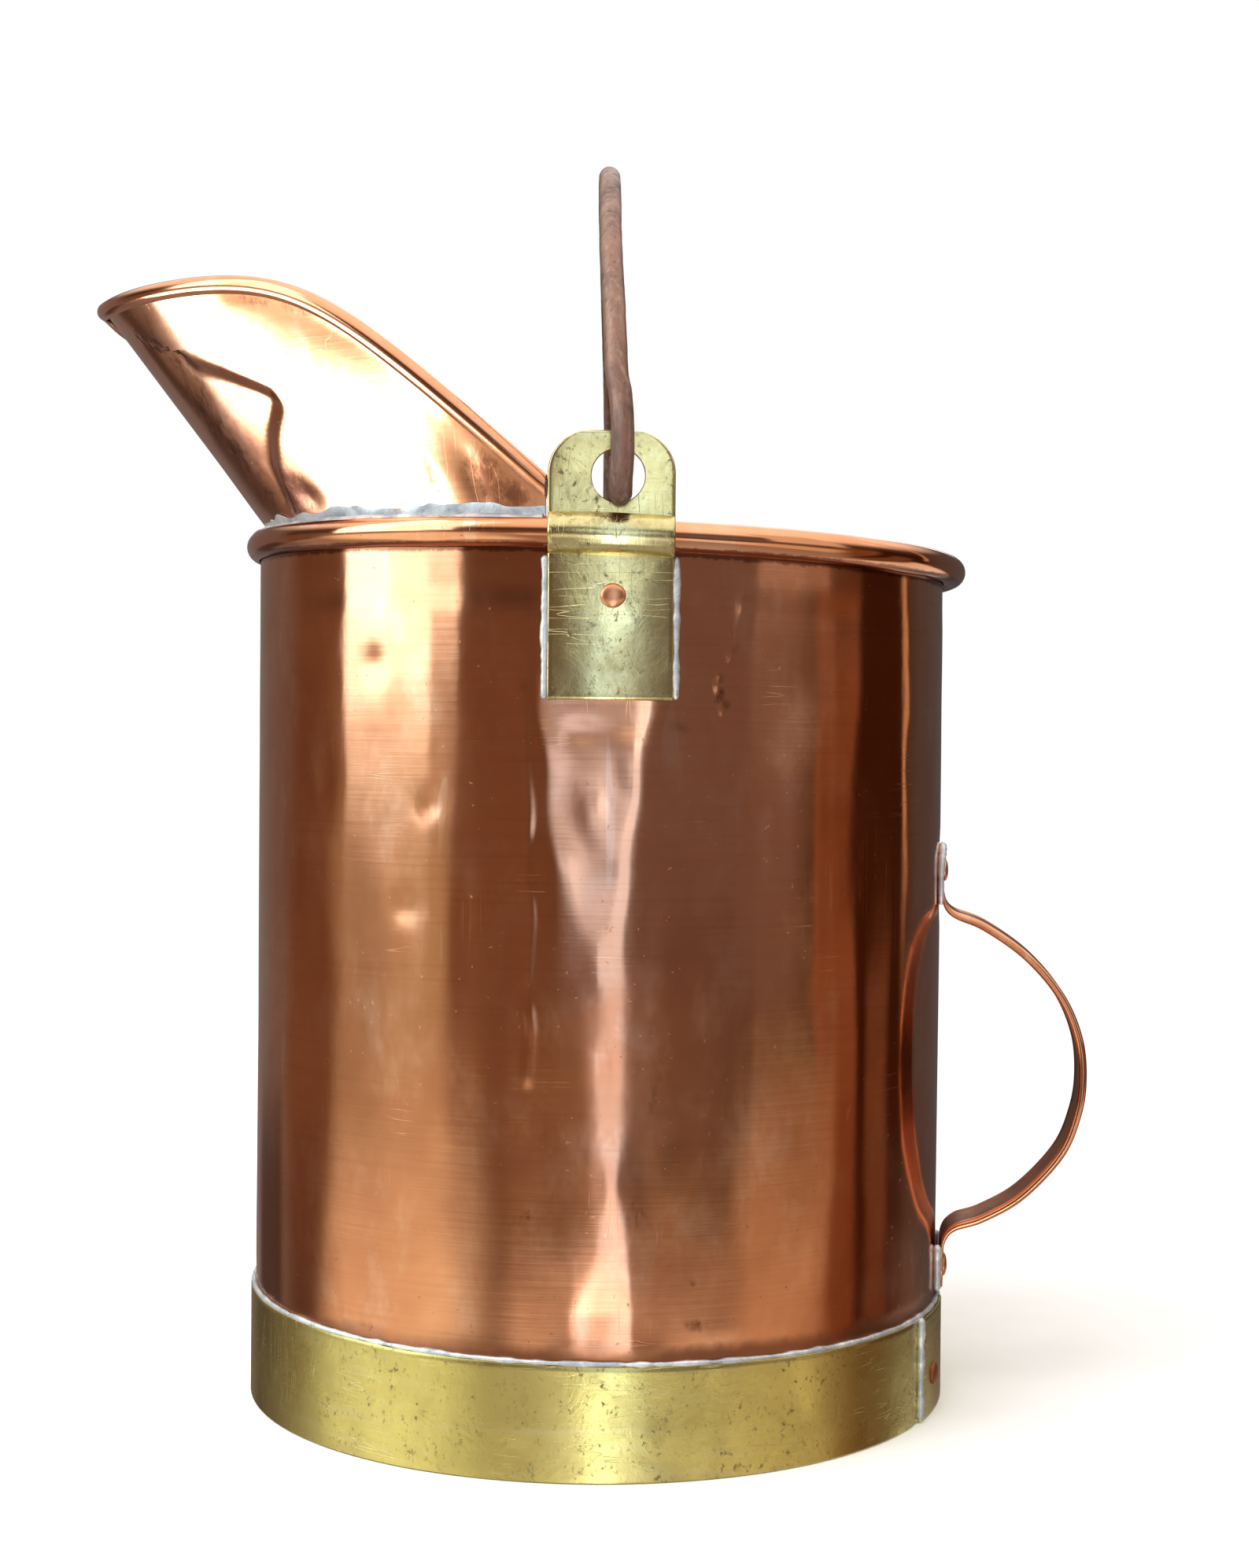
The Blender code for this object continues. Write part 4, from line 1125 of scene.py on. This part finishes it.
def copper_material(name, roughness, brushed):
    """Worn sheet copper: brushed round the body, scratched, blotched, tarnished at its foot and
    blackened with soot inside, with painted shade under the rim's roll, in patches on the hood's
    outside and on the strap's inner face.
    """
    material, nodes, shader = new_material(name, 1.0)
    height = nodes.add("ShaderNodeSeparateXYZ", {"Vector": nodes.position()}).outputs["Z"]
    blotch = nodes.noise((13, 13, 11), 4, 0.6, 0.4)
    cloud = nodes.noise((55, 55, 30), 5, 0.65, 0.2)
    brush = nodes.noise((16, 16, 620), 3, 0.6)
    crumble = nodes.noise((210, 210, 110), 5, 0.72, 0.4)
    specks = nodes.between(nodes.noise((420, 420, 420), 2, 0.6), 0.70, 0.76)
    drips = nodes.between(nodes.noise((75, 75, 13), 2, 0.5, 0.6), 0.70, 0.73)
    fine = nodes.scratches((11, 11, 260), (5, 9, 0), 0.57)
    steep = nodes.scratches((170, 170, 11), (16, -12, 0), 0.60)
    slant = nodes.scratches((190, 190, 12), (-34, 48, 0), 0.57)
    scratch = nodes.math("MAXIMUM", nodes.math("MAXIMUM", fine, steep), slant)
    foot = nodes.between(nodes.plus(height, cloud, -9 * MM), 36.5 * MM, 41.5 * MM, 1.0, 0.0)
    # Tarnish together with painted shade, read from the darkening attribute
    tarnish_and_shade = nodes.between(nodes.plus(nodes.attribute("darkening"), crumble, 1.3), 1.00, 1.45)
    # Soot inside the bucket and the hood; on the strap's inner face the same dark colour is painted
    # shade
    inside = nodes.attribute("inside")
    soot_and_shade = nodes.mix(nodes.between(cloud, 0.35, 0.65), SOOT_AND_SHADE, COPPER_BROWN)
    colour = nodes.coat(COPPER, (
        (nodes.between(blotch, 0.35, 0.68), 0.75, COPPER_DEEP),
        (nodes.between(cloud, 0.46, 0.74), 0.50, COPPER_PALE),
        (nodes.between(brush, 0.45, 0.80), 0.25, COPPER_DEEP),
        (drips, 0.45, COPPER_PALE),
        (specks, 0.55, COPPER_BROWN),
        (scratch, 0.45, COPPER_PALE),
        (foot, 0.85, COPPER_BROWN),
        (tarnish_and_shade, 0.85, COPPER_TARNISH_AND_SHADE),
        (inside, 0.85, soot_and_shade)))
    rough = nodes.between(blotch, 0.30, 0.70, roughness - 0.035, roughness + 0.05)
    for mask, more in ((cloud, 0.05), (specks, 0.20), (foot, 0.2125), (inside, 0.35)):
        rough = nodes.plus(rough, mask, more)
    normal = nodes.bump(nodes.noise((130, 130, 70)), 0.028 * MM)
    normal = nodes.bump(nodes.plus(brush, scratch, -0.8), 0.010 * MM, normal)
    connect(nodes, shader, colour, rough, normal)
    if brushed:
        shader.inputs["Anisotropic"].default_value = 0.8
        shader.inputs["Anisotropic Rotation"].default_value = 0.25
        tangent = nodes.add("ShaderNodeTangent", direction_type="RADIAL", axis="Z")
        nodes.feed(shader.inputs["Tangent"], tangent.outputs[0])
    return material


def brass_material(name, plain, roughness, mottle, clouding):
    """Dull brass with dark mottling, rubbed paler in places, scratched and pitted."""
    material, nodes, shader = new_material(name, 1.0)
    blotch = nodes.noise((32, 32, 26), 5, 0.65, 0.5)
    darkening = nodes.noise((70, 70, 60), 6, 0.72, 0.8)
    speck = nodes.noise((520, 520, 420), 3, 0.7)
    rub = nodes.noise((20, 20, 240), 3, 0.6)
    specks = nodes.math("MULTIPLY", nodes.between(speck, 0.55, 0.68), nodes.between(darkening, 0.42, 0.60))
    scratch = nodes.math("MAXIMUM", nodes.scratches((22, 22, 300), (0, 18, 0), 0.45),
                         nodes.scratches((280, 280, 30), (20, 30, 0), 0.50))
    colour = nodes.coat(plain, (
        (nodes.between(blotch, 0.35, 0.70), clouding, BRASS_BROWN),
        (nodes.between(rub, 0.5, 0.8), 0.30, BRASS_PALE),
        (nodes.between(darkening, 0.56, 0.72), mottle, BRASS_DARK),
        (specks, 0.75, BRASS_DARK),
        (scratch, 0.5, BRASS_PALE)))
    rough = nodes.between(blotch, 0.3, 0.7, roughness - 0.05, roughness + 0.06)
    normal = nodes.bump(nodes.plus(rub, scratch, -1.5), 0.018 * MM, nodes.bump(darkening, 0.10 * MM))
    connect(nodes, shader, colour, nodes.plus(rough, specks, 0.25), normal)
    return material


def rust_material():
    """Wrought iron with an even brown rust, rubbed to grey in places."""
    material, nodes, shader = new_material("rusted_iron", 0.45)
    patch = nodes.noise((60, 60, 34), 5, 0.7, 0.6)
    grain = nodes.noise((700, 700, 260), 4, 0.75)
    streak = nodes.noise((500, 500, 45), 3, 0.6)
    colour = nodes.coat(RUST, (
        (nodes.between(patch, 0.35, 0.65), 1.0, RUST_DEEP),
        (nodes.between(streak, 0.45, 0.75), 0.6, IRON_GREY),
        (nodes.between(grain, 0.55, 0.75), 0.85, RUST_PIT)))
    normal = nodes.bump(grain, 0.09 * MM, nodes.bump(streak, 0.06 * MM))
    connect(nodes, shader, colour, nodes.between(patch, 0.3, 0.7, 0.34, 0.58), normal)
    return material


def solder_material():
    """Soft solder, grey-white where it was wiped and bluish where it ran."""
    material, nodes, shader = new_material("soft_solder", 0.75)
    patch = nodes.noise((90, 90, 90), 4, 0.65, 0.5)
    grain = nodes.noise((600, 600, 600), 3, 0.7)
    colour = nodes.coat(SOLDER, (
        (nodes.between(patch, 0.35, 0.65), 1.0, SOLDER_BLUE),
        (nodes.between(grain, 0.58, 0.75), 0.7, SOLDER_DIRT)))
    normal = nodes.bump(patch, 0.5 * MM, nodes.bump(grain, 0.07 * MM))
    connect(nodes, shader, colour, nodes.between(patch, 0.3, 0.7, 0.38, 0.6), normal)
    return material


def wire_material():
    """Plain drawn wire, seen only where a roll ends."""
    material, nodes, shader = new_material("drawn_wire", 1.0)
    grain = nodes.noise((300, 300, 300), 3, 0.6)
    nodes.feed(shader.inputs["Base Color"], nodes.mix(grain, WIRE, WIRE_DARK))
    nodes.feed(shader.inputs["Roughness"], nodes.between(grain, 0.3, 0.7, 0.4, 0.6))
    return material


# ---- studio

class Studio(Nodes):
    """The surroundings as soft panels, each painted over the ones before it."""

    def __init__(self, tree):
        super().__init__(tree)
        direction = self.add("ShaderNodeTexCoord").outputs["Generated"]
        split = self.add("ShaderNodeSeparateXYZ", {"Vector": direction})
        back = self.math("MULTIPLY", split.outputs["Y"], -1.0)
        turn = self.math("ARCTAN2", split.outputs["X"], back)
        self.bearing = self.math("MULTIPLY", turn, 180.0 / math.pi)
        level = self.math("ARCSINE", split.outputs["Z"])
        self.level = self.math("MULTIPLY", level, 180.0 / math.pi)
        self.colour = None

    def sky(self, stops):
        """Colours by height above the horizon, in degrees."""
        self.colour = stops[0][1]
        for (low, _), (high, colour) in zip(stops, stops[1:]):
            self.colour = self.mix(self.between(self.level, low, high), self.colour, colour)

    def panel(self, bearing, half, low, high, colour, side_soft, end_soft):
        """Paint one panel, by its bearing and half width, and its lower and upper level."""
        away = self.math("SUBTRACT", self.bearing, bearing)
        away = self.math("ABSOLUTE", self.math("WRAP", away, 180.0, -180.0))
        mask = self.between(away, half - side_soft / 2, half + side_soft / 2, 1.0, 0.0)
        over = self.between(self.level, low - end_soft / 2, low + end_soft / 2)
        under = self.between(self.level, high - end_soft / 2, high + end_soft / 2, 1.0, 0.0)
        mask = self.math("MULTIPLY", mask, self.math("MULTIPLY", over, under))
        self.colour = self.mix(mask, self.colour, colour)


SKY = (
    (-90, (0.55, 0.51, 0.46)),
    (-18, (0.36, 0.30, 0.25)),
    (-13.6, (0.085, 0.050, 0.033)),
    (17, (0.080, 0.052, 0.040)),
    (38, (1.4, 1.36, 1.25)),
    (90, (1.7, 1.66, 1.6)),
)
# bearing, half width, lower and upper level, colour, softness of the sides and of the ends
PANELS = (
    (-75, 70, -12, 6, (0.20, 0.115, 0.072), 50, 3),
    (38, 30, -7, 16, (0.195, 0.150, 0.138), 12, 5),
    (84, 10, -30, 3, (0.25, 0.115, 0.055), 6, 4),
    (106.5, 13.5, -40, 12, (0.045, 0.015, 0.006), 4, 6),
    (104, 5, -40, -5, (0.19, 0.095, 0.050), 4, 2),
    (-148, 26, -30, 20, (0.22, 0.18, 0.165), 16, 8),
    (-141, 13, -19, -9, (0.085, 0.060, 0.050), 8, 3),
    (150, 26, -14, 20, (0.10, 0.085, 0.08), 14, 8),
    (22, 54, -30, -13.6, (1, 0.93, 0.80), 16, 2),
    (24, 26, -13, -7, (0.030, 0.016, 0.010), 8, 2.5),
    (62, 16, -30, -10, (0.80, 0.67, 0.49), 12, 5),
    (-75, 24, -22, 0, (0.38, 0.32, 0.22), 12, 6),
    (-62, 11, -22, 0, (0.50, 0.45, 0.30), 8, 6),
    (-70, 29, -60, -11.4, (1.25, 1.25, 1.05), 22, 5),
    (-75, 17, 0.3, 62, (3.2, 4, 4.4), 3, 4),
    (-60, 13.5, 2.8, 62, (2.4, 2.8, 3), 3, 2),
    (65, 14, 5, 42, (0.9, 0.80, 0.74), 4, 3),
    (118, 1.5, -4, 42, (0.62, 0.42, 0.26), 1.6, 6),
    (4.5, 4.8, -60, 58, (1.05, 1.42, 2), 3, 8),
    (2, 8.5, -3.4, 1.4, (1.15, 1.55, 2.2), 8, 3),
    (2, 6, -60, -15.8, (4.4, 4.8, 5.2), 4, 1.5),
    (4.5, 4, 1.9, 4.6, (2.4, 3, 3.8), 2, 1),
    (2, 13, 4.6, 14, (1.28, 1.38, 1.32), 6, 1.5),
    (172, 9, -60, -17, (1.3, 1.3, 1.35), 5, 4),
    (130, 16, -60, -17, (1, 0.95, 0.85), 6, 4),
    (172, 9, 12, 50, (1.6, 1.6, 1.6), 5, 4),
)
BACKDROP = (1.0, 1.0, 1.0)
FLOOR_HALF = 1.6
FLOOR_FADE = (0.5, 1.3)
TOP_PLACE = (-0.5, -0.9, 1.6)
TOP_AIM = (0.0, 0.0, 0.2)
TOP_SIZE = 1.2
TOP_POWER = 14.0
TOP_COLOUR = (1.0, 0.99, 0.97)
CARD_NEAR_END = (-0.60, -0.56, 0.10)
CARD_FAR_END = (-0.785, 0.19, 0.10)
CARD_AIM = (-0.10, -0.09, 0.35)
CARD_HEIGHT = 0.20
CARD_POWER = 4.4
CARD_COLOUR = (0.68, 0.82, 0.94)


def make_world():
    """Panels for the metal to reflect; the camera itself sees a plain backdrop."""
    world = bpy.data.worlds.new("studio")
    bpy.context.scene.world = world
    world.use_nodes = True
    tree = world.node_tree
    studio = Studio(tree)
    studio.sky(SKY)
    for panel in PANELS:
        studio.panel(*panel)
    seen = studio.add("ShaderNodeLightPath").outputs["Is Camera Ray"]
    colour = studio.mix(seen, studio.colour, BACKDROP)
    studio.feed(tree.nodes["Background"].inputs["Color"], colour)


def make_floor():
    """Pale floor that fades out into the backdrop."""
    size = FLOOR_HALF
    corners = [(-size, -size, 0.0), (size, -size, 0.0), (size, size, 0.0), (-size, size, 0.0)]
    mesh = bpy.data.meshes.new("floor")
    mesh.from_pydata(corners, [], [(0, 1, 2, 3)])
    floor = new_object("floor", mesh)
    floor.location.z = -0.2 * MM
    material, nodes, shader = new_material("pale_floor", 0.0)
    shader.inputs["Roughness"].default_value = 0.9
    colour = nodes.mix(nodes.noise((60, 60, 60), 3), FLOOR_WHITE, FLOOR_PALE)
    nodes.feed(shader.inputs["Base Color"], colour)
    distance = nodes.add("ShaderNodeVectorMath", {0: nodes.position()}, operation="LENGTH")
    fade = nodes.between(distance.outputs["Value"], *FLOOR_FADE, 1.0, 0.0)
    nodes.feed(shader.inputs["Alpha"], fade)
    mesh.materials.append(material)
    floor.visible_glossy = False


def area_light(name, shape, size, power, colour):
    data = bpy.data.lights.new(name, "AREA")
    data.shape = shape
    data.size, data.size_y = size
    data.energy = power
    data.color = colour
    light = new_object(name, data)
    light.visible_camera = False
    return light


def make_top_light():
    """Soft light from above, out of sight of the metal."""
    light = area_light("top_light", "DISK", (TOP_SIZE, TOP_SIZE), TOP_POWER, TOP_COLOUR)
    light.location = TOP_PLACE
    light.rotation_euler = (Vector(TOP_AIM) - light.location).to_track_quat("-Z", "Y").to_euler()
    light.visible_glossy = False


def make_hood_card(hood):
    """Low soft card in front of the spout; it lights the hood alone, so the wall keeps its contrast."""
    near, far = Vector(CARD_NEAR_END), Vector(CARD_FAR_END)
    middle = (near + far) / 2
    size = ((far - near).length, CARD_HEIGHT)
    light = area_light("hood_card", "RECTANGLE", size, CARD_POWER, CARD_COLOUR)
    back = (middle - Vector(CARD_AIM)).normalized()
    side = (far - near).normalized()
    back = (back - side * back.dot(side)).normalized()
    turn = Matrix((side, back.cross(side), back)).transposed().to_4x4()
    light.matrix_world = Matrix.Translation(middle) @ turn
    lit = bpy.data.collections.new("lit_by_hood_card")
    lit.objects.link(hood)
    light.light_linking.receiver_collection = lit


def make_camera():
    data = bpy.data.cameras.new("camera")
    data.sensor_fit = "VERTICAL"
    data.sensor_height = SENSOR
    data.lens = LENS
    camera = new_object("camera", data)
    turn = Matrix.Rotation(CAMERA_TURN, 4, "Z")
    tilt = Matrix.Rotation(math.pi / 2 - CAMERA_TILT, 4, "X")
    roll = Matrix.Rotation(CAMERA_ROLL, 4, "Z")
    camera.matrix_world = Matrix.Translation(CAMERA_PLACE) @ turn @ tilt @ roll
    bpy.context.scene.camera = camera


def dress_hidden_nodes(wire, copper):
    """Materials of the CAD nodes that stay: the wires in the rolls and the bottom disc."""
    for node, material in (("rim_wire", wire), ("spout_wire", wire), ("bottom_plate", copper)):
        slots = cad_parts[node].data.materials
        slots.clear()
        slots.append(material)


def main():
    make_camera()
    make_world()
    make_floor()
    make_top_light()
    copper = copper_material("worn_copper", 0.10, True)
    plain_copper = copper_material("plain_copper", 0.13, False)
    band_brass = brass_material("band_brass", BRASS, 0.28, 0.30, 0.30)
    ear_brass = brass_material("ear_brass", BRASS_SILVERY, 0.20, 0.75, 0.85)
    solder = solder_material()
    make_body(copper)
    make_hood_card(make_hood(plain_copper))
    make_band(band_brass)
    make_ears(ear_brass)
    make_rivets(copper_material("rivet_copper", 0.30, False))
    make_bail(rust_material())
    make_strap(plain_copper)
    make_band_solder(solder)
    make_hood_solder(solder)
    make_ear_solder(solder)
    make_strap_solder(solder)
    make_lap_solder(solder)
    dress_hidden_nodes(wire_material(), plain_copper)
    bpy.context.scene.view_settings.view_transform = "Standard"


main()
